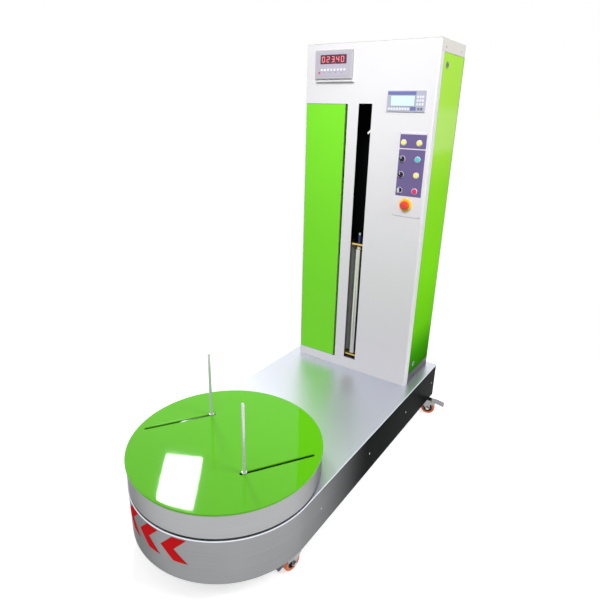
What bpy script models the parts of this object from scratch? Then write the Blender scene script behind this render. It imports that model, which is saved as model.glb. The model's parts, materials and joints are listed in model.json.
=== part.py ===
"""Turntable wrapping machine for bags and cases, built as separate solids.

A round-nosed base on four braked casters carries a weighing turntable at its
front and a column at its back. A film carriage rides up and down in the
column on two guide rods, and its exit roller shows through the front slot.

Metres, +Z up. The origin is on the floor under the middle of the machine,
the turntable is at -Y, the column at +Y, and +X is the side with the door.
"""
import math

import bmesh
import bpy
from mathutils import Matrix, Vector

# ------------------------------------------------------------- clearances
GAP = 0.0003            # between two faces that rest on each other
RUN = 0.0005            # between a moving piece and what guides it
PANEL_GAP = 0.0008      # under a door that stands on its sill
DOOR_GAP = 0.0015       # round the other edges of a door
WELD = 0.0006           # how far welded pieces reach into each other
PAST = 0.008            # how far a cutter reaches past what it cuts

# ---------------------------------------------------------------- casters
WHEEL_RADIUS = 0.0375
WHEEL_WIDTH = 0.028
WHEEL_EDGE = 0.005
TYRE_DEPTH = 0.014
HUB_RECESS = 0.003
AXLE_RADIUS = 0.005
AXLE_HEAD_RADIUS = 0.0085
AXLE_HEAD = 0.004
CASTER_TRAIL = 0.032
FORK_SHEET = 0.003
FORK_SIDE_GAP = 0.0025
FORK_TOP_GAP = 0.0085
FORK_TOP = 0.004
FORK_FRONT = -0.018         # crown edge on the far side of the swivel
FORK_REAR = 0.046
FORK_EYE = 0.012
SWIVEL_HEAD = 0.0122
SWIVEL_RADIUS = 0.024
PEDAL_REACH = 0.118
PEDAL_SHEET = 0.003
PEDAL_DROP = 0.0125
PEDAL_PIVOT = (0.053, 0.072)
PEDAL_EYE = 0.008
PEDAL_EAR = 0.014
PEDAL_BEND = 0.020
PEDAL_UNDER = 0.0009        # below the base's swivel plate
PEDAL_NOTCH = 0.003         # ears' inside corner to the fork
CASTER_INSET = 0.036        # swivel axis to the side of the base
REAR_CASTER_INSET = 0.050   # swivel axis to the back of the base
FRONT_HEADING = -98.0       # where the front right wheel trails, degrees from +X
REAR_HEADING = 12.0

# ------------------------------------------------------------------- base
BASE_WIDTH = 0.750
BASE_LENGTH = 1.690
BASE_HEIGHT = 0.192
SKIRT_SHEET = 0.002
SKIRT_INSET = 0.0015
TOP_PLATE = 0.006
NOSE_STEPS = 24
RAIL_WIDTH = 0.040
RAIL_HEIGHT = 0.050
RAIL_INSET = 0.055          # rail to the side of the base
RAIL_NOSE_GAP = 0.004       # rail corner to the round wall
POST_WIDTH = 0.050
BEAM_HEIGHT = 0.050
BEAM_WIDTH = 0.080

# -------------------------------------------------------------- turntable
TABLE_RISE = 0.110          # table top above the base top
TABLE_PLATE = 0.008
TABLE_EDGE = 0.002
TABLE_GAP = 0.006
TABLE_SKIRT_INSET = 0.0030
TABLE_STEPS = 48
SLOT_ANGLE = 57.5           # direction of both slots, degrees from +X
SLOT_OFFSET = 0.197
SLOT_START = -0.006
SLOT_RIM = 0.029            # slot end to the table's edge
SLOT_WIDTH = 0.013
ROD_RADIUS = 0.006
ROD_HEIGHT = 0.285
ROD_REST = 0.0113           # how far along its slot the rod stands
ROD_COLLAR_RADIUS = 0.011
ROD_COLLAR = 0.004
ROD_NUT = 0.012
ROD_TIP = 0.0012            # chamfer at the rod's top
SPINDLE_RADIUS = 0.024
SPINDLE_FLANGE_RADIUS = 0.150
SPINDLE_FLANGE = 0.010
SPINDLE_HUB_RADIUS = 0.045
SPINDLE_DEPTH = 0.048       # spindle's lower end under the base top
BEARING_RADIUS = 0.050
BEARING_FOOT_RADIUS = 0.085
BEARING_FOOT = 0.012
BEARING_RISE = 0.010        # bearing above the base top
LOAD_CELL_SIZE = (0.150, 0.040, 0.040)

# ---------------------------------------------------------- table drive
TABLE_CHAIN_PITCH = 0.01905
TABLE_TEETH = 36
DRIVE_TEETH = 12
TABLE_CHAIN_RISE = 0.020    # sprocket's underside above the base top
SPROCKET_SHEET = 0.007
TOOTH_HEIGHT = 0.004
CHAIN_SLACK = 0.0008        # tooth tips to the chain's inside
CHAIN_THICKNESS = 0.006
DRIVE_SHAFT_RADIUS = 0.010
DRIVE_HUB_RADIUS = 0.020
DRIVE_HUB = 0.010
DRIVE_INSET = 0.105         # drive shaft to the table's edge
GEARBOX_SIZE = (0.130, 0.120, 0.085)
MOTOR_RADIUS = 0.0416
MOTOR_LENGTH = 0.190
MOTOR_PLATE = 0.008
MOTOR_PLATE_WIDTH = 0.170
MOTOR_BEAM = 0.040

# ----------------------------------------------------------------- column
COLUMN_WIDTH = 0.650
COLUMN_DEPTH = 0.305
COLUMN_HEIGHT = 1.600
COLUMN_LEDGE = 0.035        # base behind the column
PANEL_SHEET = 0.002
CORNER_RADIUS = 0.008
FRONT_RETURN = 0.038
SILL_HEIGHT = 0.0515
CAP_HEIGHT = 0.050
UPRIGHT = 0.025
DOOR_DEPTH = 0.014
DOOR_SHEET = 0.0015
SLOT_HALF_WIDTH = 0.034
OPENING_LOW = 0.063         # slot's lower end above the base top
OPENING_HIGH = 0.252        # slot's upper end below the column top
FILM_DOOR_LEFT = 0.0065     # frame left of the film door
FILM_DOOR_RIGHT = -0.104
FILM_OPENING_RIGHT = -0.091
FILM_OPENING_DROP = 0.0125  # film door opening below the slot's lower end
FILM_OPENING_SHORT = 0.002  # film door opening below the slot's upper end
LOCK_FROM_EDGE = 0.045
LOCK_FROM_END = 0.046
LOCK_RADIUS = 0.011
LOCK_HEAD = 0.004
LOCK_HEAD_RADIUS = 0.013
LOCK_EDGE = 0.001
LOCK_CAM = 0.0035
LOCK_CAM_GAP = 0.003        # cam to the upright's inside
LOCK_CAM_WIDTH = 0.014
LOCK_REACH = 0.055
VENT_COUNT = 6
VENT_SIZE = (0.180, 0.010)
VENT_PITCH = 0.024
VENT_DROP = 0.140           # top vent below the back panel's upper edge

# --------------------------------------------------------- film carriage
CARRIAGE_RISE = 0.079       # carriage's underside above the base top
CARRIAGE_PLATE = 0.008
CARRIAGE_SPACE = 0.604      # between the lower and the upper plate
CARRIAGE_LEFT = -0.270
CARRIAGE_FRONT = 0.018      # carriage edge behind the front face
TONGUE_FRONT = 0.0085       # roller bracket's edge behind the front face
TONGUE = (-0.060, 0.050)    # roller bracket's sides
CARRIAGE_REAR = 0.271
CARRIAGE_WEB = 0.006
NOTCH_CLEAR = 0.005         # carriage corner notch round the terminal's body
GUIDE_X = 0.100
GUIDE_FRONT = 0.095         # front guide rod behind the front face
GUIDE_SPACING = 0.120
GUIDE_RADIUS = 0.0125
SLEEVE_WALL = 0.0155
SLEEVE_HEIGHT = 0.060
ROLLER_PIN_RADIUS = 0.006
EXIT_ROLLER = (0.0, 0.033, 0.020)           # x, behind the front face, radius
STRETCH_ROLLER_FRONT = (-0.050, 0.061, 0.025)
STRETCH_ROLLER_REAR = (-0.036, 0.135, 0.025)
ROLLER_FOOT = 0.0025
ROLLER_EDGE = 0.002
EXIT_ROLLER_LENGTH = 0.5785
EXIT_CAP_RADIUS = 0.012
EXIT_CAP = 0.014
EXIT_SPINDLE_RADIUS = 0.0095
EXIT_SPINDLE_RISE = 0.054
SPINDLE_NOSE = 0.006        # rounded tip of the exit roller's spindle
FILM_ROLL_X = -0.168
FILM_ROLL_BACK = 0.160
FILM_RADIUS = 0.100
FILM_WIDTH = 0.500
FILM_LIFT = 0.020           # film above the lower plate
CORE_RADIUS = 0.038
CORE_WALL = 0.006

# ------------------------------------------------------------- lift drive
LIFT_CHAIN_PITCH = 0.0127
LIFT_TEETH = 16
LIFT_CHAIN_WIDTH = 0.008
LIFT_SHAFT_RADIUS = 0.0075
LIFT_HUB_RADIUS = 0.014
LIFT_HUB = 0.016
LIFT_LOW = 0.118            # lower sprocket above the base top
LIFT_HIGH = 0.112           # upper sprocket below the column top
LIFT_BACK = 0.155           # chain behind the front face
LIFT_GEARBOX_SIZE = (0.110, 0.080, 0.163)
LIFT_GEARBOX_LEFT = 0.031   # gearbox edge left of its shaft
LIFT_MOTOR_SHIFT = 0.009    # motor's axis right of the gearbox's middle
LIFT_MOTOR_RADIUS = 0.0425
LIFT_MOTOR_HEIGHT = 0.200
HANGER_WIDTH = 0.030
HANGER_DEPTH = 0.022
HEAD_PLATE = 0.008
HEAD_DROP = 0.0475          # head ring's underside below the column top
CONTROL_BOX_SIZE = (0.093, 0.225)
CONTROL_BOX_HIGH = 0.392    # its top below the column top
CONTROL_BOX_CLEAR = 0.045   # its underside above the lift motor

# ------------------------------------------------------- front face items
INDICATOR_LEFT = -0.271
INDICATOR_SIZE = (0.198, 0.121)
INDICATOR_DROP = 0.028      # its top below the column top
INDICATOR_BEZEL = 0.010
INDICATOR_BODY = 0.070
INDICATOR_BORDER = 0.007
BEZEL_EDGE = 0.002
SHELF_OVERHANG = 0.010
SHELF_DEPTH = 0.014
SHELF_SHEET = 0.0025
SHELF_DROP = 0.010
HMI_LEFT = 0.107
HMI_SIZE = (0.175, 0.086)
HMI_DROP = 0.198
HMI_BEZEL = 0.0055
HMI_BODY = 0.036
HMI_BORDER = 0.006
CUTOUT_CLEAR = 0.0008
PLATE_LEFT = 0.178
PLATE_SIZE = (0.134, 0.366)
PLATE_DROP = 0.366
PLATE_SHEET = 0.003
PLATE_BORDER = 0.010
LEFT_ROW = 0.0245           # control centres, from the plate's left edge
RIGHT_ROW = 0.0965
CONTROL_DROPS = (0.043, 0.112, 0.180, 0.249)    # from the plate's upper edge
BUTTON_RADIUS = 0.0110
BUTTON_RISE = 0.0075
BUTTON_FLANGE = 0.0015
BUTTON_FLANGE_SHEET = 0.002
BUTTON_EDGE = 0.001
BUTTON_STEM_RADIUS = 0.006
BUTTON_STEM = 0.020
KNOB_RADIUS = 0.0105
KNOB_RISE = 0.015
SELECTOR_RISE = 0.005
KNOB_TAPER = 0.0015
KNOB_SHAFT_RADIUS = 0.003
KNOB_SHAFT = 0.012
KNOB_RIDGE = (0.003, 0.0015)
GRIP_SIZE = (0.007, 0.021, 0.011)
ESTOP_DROP = 0.313
ESTOP_ACROSS = 0.0605
ESTOP_COLLAR_RADIUS = 0.030
ESTOP_COLLAR = 0.007
ESTOP_RADIUS = 0.020
ESTOP_EDGE = 0.002
ESTOP_CROWN = ((0.55, 0.0012), (0.88, 0.005), (1.0, 0.010))     # share of the radius, drop
ESTOP_WAIST = 0.0192
ESTOP_HEAD = 0.016
ESTOP_TRAVEL = 0.005
ESTOP_NECK_RADIUS = 0.0105

# -------------------------------------------------------- worked-out places
HALF_BASE = BASE_WIDTH / 2
BASE_BACK = BASE_LENGTH / 2
TABLE_Y = HALF_BASE - BASE_BACK
FORK_UNDER = 2 * WHEEL_RADIUS + FORK_TOP_GAP
BASE_BOTTOM = FORK_UNDER + FORK_TOP + GAP + SWIVEL_HEAD
BASE_TOP = BASE_BOTTOM + BASE_HEIGHT
PLATE_UNDER = BASE_TOP - TOP_PLATE
TABLE_TOP = BASE_TOP + TABLE_RISE
TABLE_UNDER = TABLE_TOP - TABLE_PLATE
TABLE_RADIUS = HALF_BASE
DRIVE_Y = TABLE_Y + TABLE_RADIUS - DRIVE_INSET
SPROCKET_LOW = BASE_TOP + TABLE_CHAIN_RISE
SLOT_END = math.sqrt((TABLE_RADIUS - SLOT_RIM) ** 2 - SLOT_OFFSET ** 2)

HALF_COLUMN = COLUMN_WIDTH / 2
COLUMN_BACK = BASE_BACK - COLUMN_LEDGE
COLUMN_FRONT = COLUMN_BACK - COLUMN_DEPTH
COLUMN_TOP = BASE_TOP + COLUMN_HEIGHT
COLUMN_LOW = BASE_TOP + GAP
SILL_TOP = COLUMN_LOW + SILL_HEIGHT
CAP_LOW = COLUMN_TOP - CAP_HEIGHT
FRONT_INSIDE = COLUMN_FRONT + PANEL_SHEET
BACK_INSIDE = COLUMN_BACK - PANEL_SHEET
UPRIGHT_OUTSIDE = HALF_COLUMN - DOOR_DEPTH - DOOR_GAP
UPRIGHT_INSIDE = UPRIGHT_OUTSIDE - UPRIGHT
UPRIGHT_FRONT = COLUMN_FRONT + DOOR_DEPTH + DOOR_GAP
UPRIGHT_BACK = BACK_INSIDE - GAP
SLOT_LOW = BASE_TOP + OPENING_LOW
SLOT_HIGH = COLUMN_TOP - OPENING_HIGH

CARRIAGE_LOW = BASE_TOP + CARRIAGE_RISE
CARRIAGE_FLOOR = CARRIAGE_LOW + CARRIAGE_PLATE
CARRIAGE_CEILING = CARRIAGE_FLOOR + CARRIAGE_SPACE
CARRIAGE_HIGH = CARRIAGE_CEILING + CARRIAGE_PLATE
SLEEVE_HALF = GUIDE_RADIUS + SLEEVE_WALL
CARRIAGE_RIGHT = GUIDE_X + SLEEVE_HALF
LIFT_PITCH_RADIUS = LIFT_CHAIN_PITCH / (2 * math.sin(math.pi / LIFT_TEETH))
LIFT_CHAIN_INSIDE = LIFT_PITCH_RADIUS + TOOTH_HEIGHT / 2 + CHAIN_SLACK
LIFT_X = CARRIAGE_RIGHT + GAP + LIFT_CHAIN_INSIDE + CHAIN_THICKNESS
LIFT_Y = COLUMN_FRONT + LIFT_BACK
HEAD_LOW = COLUMN_TOP - HEAD_DROP
PLATE_TOP = COLUMN_TOP - PLATE_DROP
PLATE_BACK = COLUMN_FRONT - GAP

# ----------------------------------------------------------------- finishes
STAINLESS = ((0.62, 0.63, 0.63), 0.28, 1.0)
BARE_STEEL = ((0.55, 0.56, 0.57), 0.35, 1.0)
CHROME = ((0.80, 0.80, 0.80), 0.12, 1.0)
YELLOW_ZINC = ((0.72, 0.58, 0.25), 0.35, 1.0)
GREEN_PAINT = ((0.28, 0.72, 0.06), 0.22, 0.0)
WHITE_PAINT = ((0.84, 0.83, 0.85), 0.35, 0.0)
GREY_PAINT = ((0.36, 0.38, 0.40), 0.45, 0.0)
GREY_PLASTIC = ((0.50, 0.51, 0.56), 0.45, 0.0)
BLACK_PLASTIC = ((0.03, 0.03, 0.04), 0.40, 0.0)
YELLOW_PLASTIC = ((0.90, 0.70, 0.10), 0.35, 0.0)
GREEN_PLASTIC = ((0.08, 0.60, 0.50), 0.35, 0.0)
RED_PLASTIC = ((0.80, 0.06, 0.05), 0.35, 0.0)
ORANGE_TYRE = ((0.90, 0.28, 0.05), 0.50, 0.0)
FILM_PLASTIC = ((0.85, 0.88, 0.88), 0.20, 0.0)
CARDBOARD = ((0.55, 0.42, 0.28), 0.85, 0.0)


# ------------------------------------------------------------------ helpers
def empty_scene():
    """Take every object out of the scene and add the two collections."""
    for thing in list(bpy.data.objects):
        bpy.data.objects.remove(thing, do_unlink=True)
    collections = []
    for name in ("turntable_wrapper", "wrapper_cutters"):
        collection = bpy.data.collections.new(name)
        bpy.context.scene.collection.children.link(collection)
        collections.append(collection)
    return collections


PARTS, CUTTERS = empty_scene()


def place(name, mesh, location=(0, 0, 0), rotation=(0, 0, 0)):
    """Object for a mesh, in the collection of parts."""
    thing = bpy.data.objects.new(name, mesh)
    thing.location = location
    thing.rotation_euler = rotation
    PARTS.objects.link(thing)
    return thing


def box(name, low, high):
    """Block between two corners."""
    size = Vector(high) - Vector(low)
    centre = (Vector(high) + Vector(low)) / 2
    mesh = bpy.data.meshes.new(name)
    shape = bmesh.new()
    stretch = Matrix.Diagonal((*size, 1))
    bmesh.ops.create_cube(shape, size=1.0, matrix=Matrix.Translation(centre) @ stretch)
    shape.to_mesh(mesh)
    shape.free()
    return place(name, mesh)


def turned(name, profile, steps, location=(0, 0, 0), rotation=(0, 0, 0), ring=False):
    """Turned piece: (radius, height) down the outside, and a ring's profile closes on itself."""
    mesh = bpy.data.meshes.new(name)
    count = len(profile)
    edges = [(i, i + 1) for i in range(count - 1)]
    if ring:
        edges.append((count - 1, 0))
    mesh.from_pydata([(radius, 0, height) for radius, height in profile], edges, [])
    thing = place(name, mesh, location, rotation)
    screw = thing.modifiers.new("turn", "SCREW")
    screw.steps = steps
    screw.render_steps = steps
    screw.use_merge_vertices = True
    screw.merge_threshold = 0.00001
    screw.use_smooth_shade = False
    return thing


def disc(name, radius, low, high, steps=24, location=(0, 0, 0), rotation=(0, 0, 0)):
    """Plain cylinder along the object's own Z."""
    return turned(name, [(0, high), (radius, high), (radius, low), (0, low)], steps, location, rotation)


def extruded(name, loops, low, high, location=(0, 0, 0), rotation=(0, 0, 0)):
    """Flat outline with holes, given thickness along the object's own Z."""
    curve = bpy.data.curves.new(name, "CURVE")
    curve.dimensions = "2D"
    curve.fill_mode = "BOTH"
    curve.extrude = (high - low) / 2
    for loop in loops:
        spline = curve.splines.new("POLY")
        spline.points.add(len(loop) - 1)
        for point, (x, y) in zip(spline.points, loop):
            point.co = (x, y, 0, 1)
        spline.use_cyclic_u = True
    guide = bpy.data.objects.new(name + "_outline", curve)
    CUTTERS.objects.link(guide)
    graph = bpy.context.evaluated_depsgraph_get()
    mesh = bpy.data.meshes.new_from_object(guide.evaluated_get(graph))
    bpy.data.objects.remove(guide, do_unlink=True)
    shape = bmesh.new()
    shape.from_mesh(mesh)
    bmesh.ops.remove_doubles(shape, verts=shape.verts, dist=0.000001)
    bmesh.ops.translate(shape, verts=shape.verts, vec=(0, 0, (high + low) / 2))
    shape.to_mesh(mesh)
    shape.free()
    return place(name, mesh, location, rotation)


def arc(centre, radius, start, end, steps):
    """Points along an arc, angles in degrees."""
    points = []
    for i in range(steps + 1):
        angle = math.radians(start + (end - start) * i / steps)
        points.append((centre[0] + radius * math.cos(angle), centre[1] + radius * math.sin(angle)))
    return points


def circle(centre, radius, steps):
    """Points round a full circle."""
    return arc(centre, radius, 0, 360 - 360 / steps, steps - 1)


def combine(target, operation, pieces):
    """Boolean of target with each piece, which moves to the cutters."""
    for piece in pieces:
        boolean = target.modifiers.new(piece.name, "BOOLEAN")
        boolean.operation = operation
        boolean.solver = "EXACT"
        boolean.object = piece
        PARTS.objects.unlink(piece)
        CUTTERS.objects.link(piece)
        piece.hide_render = True
        piece.display_type = "WIRE"


def join(target, *pieces):
    """Weld pieces to target."""
    combine(target, "UNION", pieces)


def cut(target, *pieces):
    """Cut pieces out of target."""
    combine(target, "DIFFERENCE", pieces)


def round_edges(thing, width, angle=60):
    """One flat bevel on the edges sharper than angle."""
    bevel = thing.modifiers.new("edges", "BEVEL")
    bevel.width = width
    bevel.segments = 1
    bevel.limit_method = "ANGLE"
    bevel.angle_limit = math.radians(angle)


def finish(thing, look):
    """Give a part its own material."""
    colour, roughness, metallic = look
    material = bpy.data.materials.new(thing.name)
    material.use_nodes = True
    shader = material.node_tree.nodes["Principled BSDF"]
    shader.inputs["Base Color"].default_value = (*colour, 1)
    shader.inputs["Roughness"].default_value = roughness
    shader.inputs["Metallic"].default_value = metallic
    thing.data.materials.append(material)
    return thing


def set_origin(thing, point):
    """Move an unrotated object's origin without moving its mesh."""
    thing.data.transform(Matrix.Translation(thing.location - Vector(point)))
    thing.location = point


def attach(child, parent):
    """Parent a piece where it stands."""
    child.parent = parent
    child.matrix_parent_inverse = parent.matrix_basis.inverted()


# ------------------------------------------------------------------ outlines
def nose_outline(inset):
    """Base outline seen from above: half round at the front, square at the back."""
    half = HALF_BASE - inset
    back = BASE_BACK - inset
    return arc((0, TABLE_Y), half, 180, 360, NOSE_STEPS) + [(half, back), (-half, back)]


def sprocket_outline(teeth, pitch):
    """Toothed rim: a flat tip between two slanted flanks for each tooth."""
    middle = pitch / (2 * math.sin(math.pi / teeth))
    tip = middle + TOOTH_HEIGHT / 2
    root = middle - TOOTH_HEIGHT / 2
    points = []
    for i in range(teeth):
        for share, radius in ((0.0, root), (0.35, tip), (0.65, tip)):
            angle = 2 * math.pi * (i + share) / teeth
            points.append((radius * math.cos(angle), radius * math.sin(angle)))
    return points


def belt_outline(near, near_radius, far, far_radius, steps):
    """Taut loop round two discs."""
    along = Vector(far) - Vector(near)
    heading = math.degrees(math.atan2(along.y, along.x))
    spread = math.degrees(math.acos((near_radius - far_radius) / along.length))
    first = arc(near, near_radius, heading + spread, heading + 360 - spread, steps)
    return first + arc(far, far_radius, heading - spread, heading + spread, steps)


def channel_outline():
    """Front panel seen from above: a sheet with round corners and two returns."""
    inner = CORNER_RADIUS - PANEL_SHEET
    rear = COLUMN_FRONT + FRONT_RETURN
    side = HALF_COLUMN - CORNER_RADIUS
    corner = COLUMN_FRONT + CORNER_RADIUS
    outside = [(-HALF_COLUMN, rear)]
    outside += arc((-side, corner), CORNER_RADIUS, 180, 270, 4)
    outside += arc((side, corner), CORNER_RADIUS, 270, 360, 4)
    outside += [(HALF_COLUMN, rear), (HALF_COLUMN - PANEL_SHEET, rear)]
    inside = arc((side, corner), inner, 360, 270, 4)
    inside += arc((-side, corner), inner, 270, 180, 4)
    return outside + inside + [(-HALF_COLUMN + PANEL_SHEET, rear)]


# --------------------------------------------------------------------- base
def caster_places():
    """Name, swivel axis and heading of each caster."""
    side = HALF_BASE - CASTER_INSET
    back = BASE_BACK - REAR_CASTER_INSET
    return [
        ("front_right", (side, TABLE_Y), FRONT_HEADING),
        ("front_left", (-side, TABLE_Y), 180 - FRONT_HEADING),
        ("rear_right", (side, back), REAR_HEADING),
        ("rear_left", (-side, back), 180 - REAR_HEADING),
    ]


def base_frame():
    """Welded frame: rails and beams under the top plate, posts down to the swivel heads."""
    high = PLATE_UNDER - GAP
    low = high - RAIL_HEIGHT
    outside = HALF_BASE - RAIL_INSET
    inside = outside - RAIL_WIDTH
    wall = HALF_BASE - SKIRT_INSET - SKIRT_SHEET
    front = TABLE_Y - math.sqrt((wall - RAIL_NOSE_GAP) ** 2 - outside ** 2)
    back = BASE_BACK - SKIRT_SHEET - SKIRT_INSET - GAP
    frame = box("base_frame", (inside, front, low), (outside, back, high))
    pieces = [box("base_rail_left", (-outside, front, low), (-inside, back, high))]
    half_drive = GEARBOX_SIZE[1] / 2
    spans = [
        ("nose", front, front + RAIL_WIDTH),
        ("drive_front", DRIVE_Y - half_drive - MOTOR_BEAM, DRIVE_Y - half_drive),
        ("drive_back", DRIVE_Y + half_drive, DRIVE_Y + half_drive + MOTOR_BEAM),
        ("column_front", COLUMN_FRONT, COLUMN_FRONT + RAIL_WIDTH),
        ("column_back", back - RAIL_WIDTH, back),
    ]
    for name, near, far in spans:
        pieces.append(box("base_beam_" + name, (-outside, near, low), (outside, far, high)))
    nose = TABLE_Y - wall + RAIL_NOSE_GAP
    pieces.append(box("base_nose_bar", (-RAIL_WIDTH / 2, nose, low),
                      (RAIL_WIDTH / 2, front + RAIL_WIDTH, high)))
    beam_low = BASE_BOTTOM + SKIRT_SHEET
    pieces.append(box("base_table_beam", (-outside, TABLE_Y - BEAM_WIDTH / 2, beam_low),
                      (outside, TABLE_Y + BEAM_WIDTH / 2, beam_low + BEAM_HEIGHT)))
    for name, (x, y), _ in caster_places():
        half = POST_WIDTH / 2
        near = min(y + half, back) - POST_WIDTH
        pieces.append(box("base_post_" + name, (x - half, near, BASE_BOTTOM),
                          (x + half, near + POST_WIDTH, high)))
        pieces.append(disc("base_swivel_" + name, SWIVEL_RADIUS, BASE_BOTTOM - SWIVEL_HEAD,
                           BASE_BOTTOM + SKIRT_SHEET, 16, (x, y, 0)))
    join(frame, *pieces)
    return finish(frame, GREY_PAINT)


def base_skirt():
    """Stainless wall round the base, open below."""
    loops = [nose_outline(SKIRT_INSET), nose_outline(SKIRT_INSET + SKIRT_SHEET)]
    return finish(extruded("base_skirt", loops, BASE_BOTTOM, PLATE_UNDER - GAP), STAINLESS)


def base_top_plate():
    """Stainless deck with holes for the table bearing and the drive shaft."""
    loops = [
        nose_outline(0),
        circle((0, TABLE_Y), BEARING_RADIUS + RUN, 32),
        circle((0, DRIVE_Y), DRIVE_SHAFT_RADIUS + RUN, 16),
    ]
    plate = extruded("base_top_plate", loops, PLATE_UNDER, BASE_TOP)
    return finish(plate, STAINLESS)


# ------------------------------------------------------------------ casters
def caster_fork(name, place_xy, heading):
    """Swivel fork with its axle bolt, trailing along its own +X."""
    inner = WHEEL_WIDTH / 2 + FORK_SIDE_GAP
    outer = inner + FORK_SHEET
    location = (*place_xy, 0)
    turn = (0, 0, math.radians(heading))
    upright_turn = Matrix.Rotation(turn[2], 4, "Z") @ Matrix.Rotation(math.pi / 2, 4, "X")
    sideways = upright_turn.to_euler()
    crown_high = FORK_UNDER + FORK_TOP
    fork = box(name, (FORK_FRONT, -outer, FORK_UNDER), (FORK_REAR, outer, crown_high))
    fork.location = location
    fork.rotation_euler = turn
    leg = [(FORK_FRONT, crown_high - WELD)]
    leg += arc((CASTER_TRAIL, WHEEL_RADIUS), FORK_EYE, 180, 360, 6)
    leg += [(FORK_REAR, crown_high - WELD)]
    pieces = []
    for side, low, high in (("near", inner, outer), ("far", -outer, -inner)):
        pieces.append(extruded(name + "_leg_" + side, [leg], low, high, location, sideways))
    axle_at = Matrix.Translation(location) @ Matrix.Rotation(turn[2], 4, "Z")
    axle_point = axle_at @ Vector((CASTER_TRAIL, 0, WHEEL_RADIUS))
    head = outer + AXLE_HEAD
    seat = outer - WELD
    axle = [
        (0, head), (AXLE_HEAD_RADIUS, head), (AXLE_HEAD_RADIUS, seat), (AXLE_RADIUS, seat),
        (AXLE_RADIUS, -seat), (AXLE_HEAD_RADIUS, -seat), (AXLE_HEAD_RADIUS, -head), (0, -head),
    ]
    pieces.append(turned(name + "_axle", axle, 12, axle_point, sideways))
    join(fork, *pieces)
    return finish(fork, CHROME)


def caster_wheel(name, place_xy, heading):
    """Tyred wheel with a recessed hub, its own Z along the axle."""
    half = WHEEL_WIDTH / 2
    bore = AXLE_RADIUS + RUN
    edge = WHEEL_EDGE
    hub = WHEEL_RADIUS - TYRE_DEPTH
    sunk = half - HUB_RECESS
    profile = [
        (bore, sunk), (hub - edge, sunk), (hub, half), (WHEEL_RADIUS - edge, half),
        (WHEEL_RADIUS, half - edge), (WHEEL_RADIUS, edge - half), (WHEEL_RADIUS - edge, -half),
        (hub, -half), (hub - edge, -sunk), (bore, -sunk),
    ]
    turn = Matrix.Rotation(math.radians(heading), 4, "Z")
    centre = Matrix.Translation((*place_xy, 0)) @ turn @ Vector((CASTER_TRAIL, 0, WHEEL_RADIUS))
    sideways = (turn @ Matrix.Rotation(math.pi / 2, 4, "X")).to_euler()
    return finish(turned(name, profile, 20, centre, sideways, ring=True), ORANGE_TYRE)


def caster_pedal(name, place_xy, heading):
    """Brake pedal: a bent plate with two ears outside the fork."""
    inner = WHEEL_WIDTH / 2 + FORK_SIDE_GAP + FORK_SHEET + PANEL_GAP
    outer = inner + FORK_SHEET
    pivot_x, pivot_z = PEDAL_PIVOT
    high = FORK_UNDER - PEDAL_UNDER - pivot_z
    tip = PEDAL_REACH - pivot_x
    side = [
        (-PEDAL_EYE, -PEDAL_EYE), (PEDAL_EAR, -PEDAL_EYE), (PEDAL_BEND, high - PEDAL_SHEET),
        (tip, high - PEDAL_DROP - PEDAL_SHEET), (tip, high - PEDAL_DROP), (PEDAL_BEND, high),
        (-PEDAL_EYE, high),
    ]
    turn = Matrix.Rotation(math.radians(heading), 4, "Z")
    location = Matrix.Translation((*place_xy, 0)) @ turn @ Vector((pivot_x, 0, pivot_z))
    sideways = (turn @ Matrix.Rotation(math.pi / 2, 4, "X")).to_euler()
    pedal = extruded(name, [side], -outer, outer, location, sideways)
    near = -PEDAL_EYE - PAST
    low = -PEDAL_EYE - PAST
    fork_end = FORK_REAR + PEDAL_NOTCH - pivot_x
    under = high - PEDAL_SHEET
    loops = (
        ("_notch", [(near, low), (fork_end, low), (fork_end, high + PAST), (near, high + PAST)]),
        ("_pocket", [(near, low), (PEDAL_BEND, low), (PEDAL_BEND, under), (near, under)]),
    )
    cutters = []
    for label, loop in loops:
        cutters.append(extruded(name + label, [loop], -inner, inner, location, sideways))
    cut(pedal, *cutters)
    return finish(pedal, CHROME)


def casters():
    """Four braked swivel casters."""
    for place_name, place_xy, heading in caster_places():
        fork = caster_fork("caster_fork_" + place_name, place_xy, heading)
        attach(caster_wheel("caster_wheel_" + place_name, place_xy, heading), fork)
        attach(caster_pedal("caster_pedal_" + place_name, place_xy, heading), fork)


# ---------------------------------------------------------------- turntable
def slot_frames():
    """Placement of each slot's local X axis, which runs outwards along the slot."""
    frames = []
    for turn in (0, 180):
        spin = Matrix.Rotation(math.radians(turn + SLOT_ANGLE), 4, "Z")
        frames.append(Matrix.Translation((0, TABLE_Y, 0)) @ spin @ Matrix.Translation((0, -SLOT_OFFSET, 0)))
    return frames


def turntable_plate():
    """Round top with two straight slots for the clamp rods."""
    profile = [
        (0, TABLE_TOP), (TABLE_RADIUS - TABLE_EDGE, TABLE_TOP),
        (TABLE_RADIUS, TABLE_TOP - TABLE_EDGE), (TABLE_RADIUS, TABLE_UNDER), (0, TABLE_UNDER),
    ]
    plate = turned("turntable_plate", profile, TABLE_STEPS, (0, TABLE_Y, 0))
    cutters = []
    for side, frame in zip(("front", "rear"), slot_frames()):
        cutter = box("table_slot_" + side, (SLOT_START, -SLOT_WIDTH / 2, TABLE_UNDER - PAST),
                     (SLOT_END, SLOT_WIDTH / 2, TABLE_TOP + PAST))
        cutter.matrix_basis = frame
        cutters.append(cutter)
    cut(plate, *cutters)
    return finish(plate, GREEN_PAINT)


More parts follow.
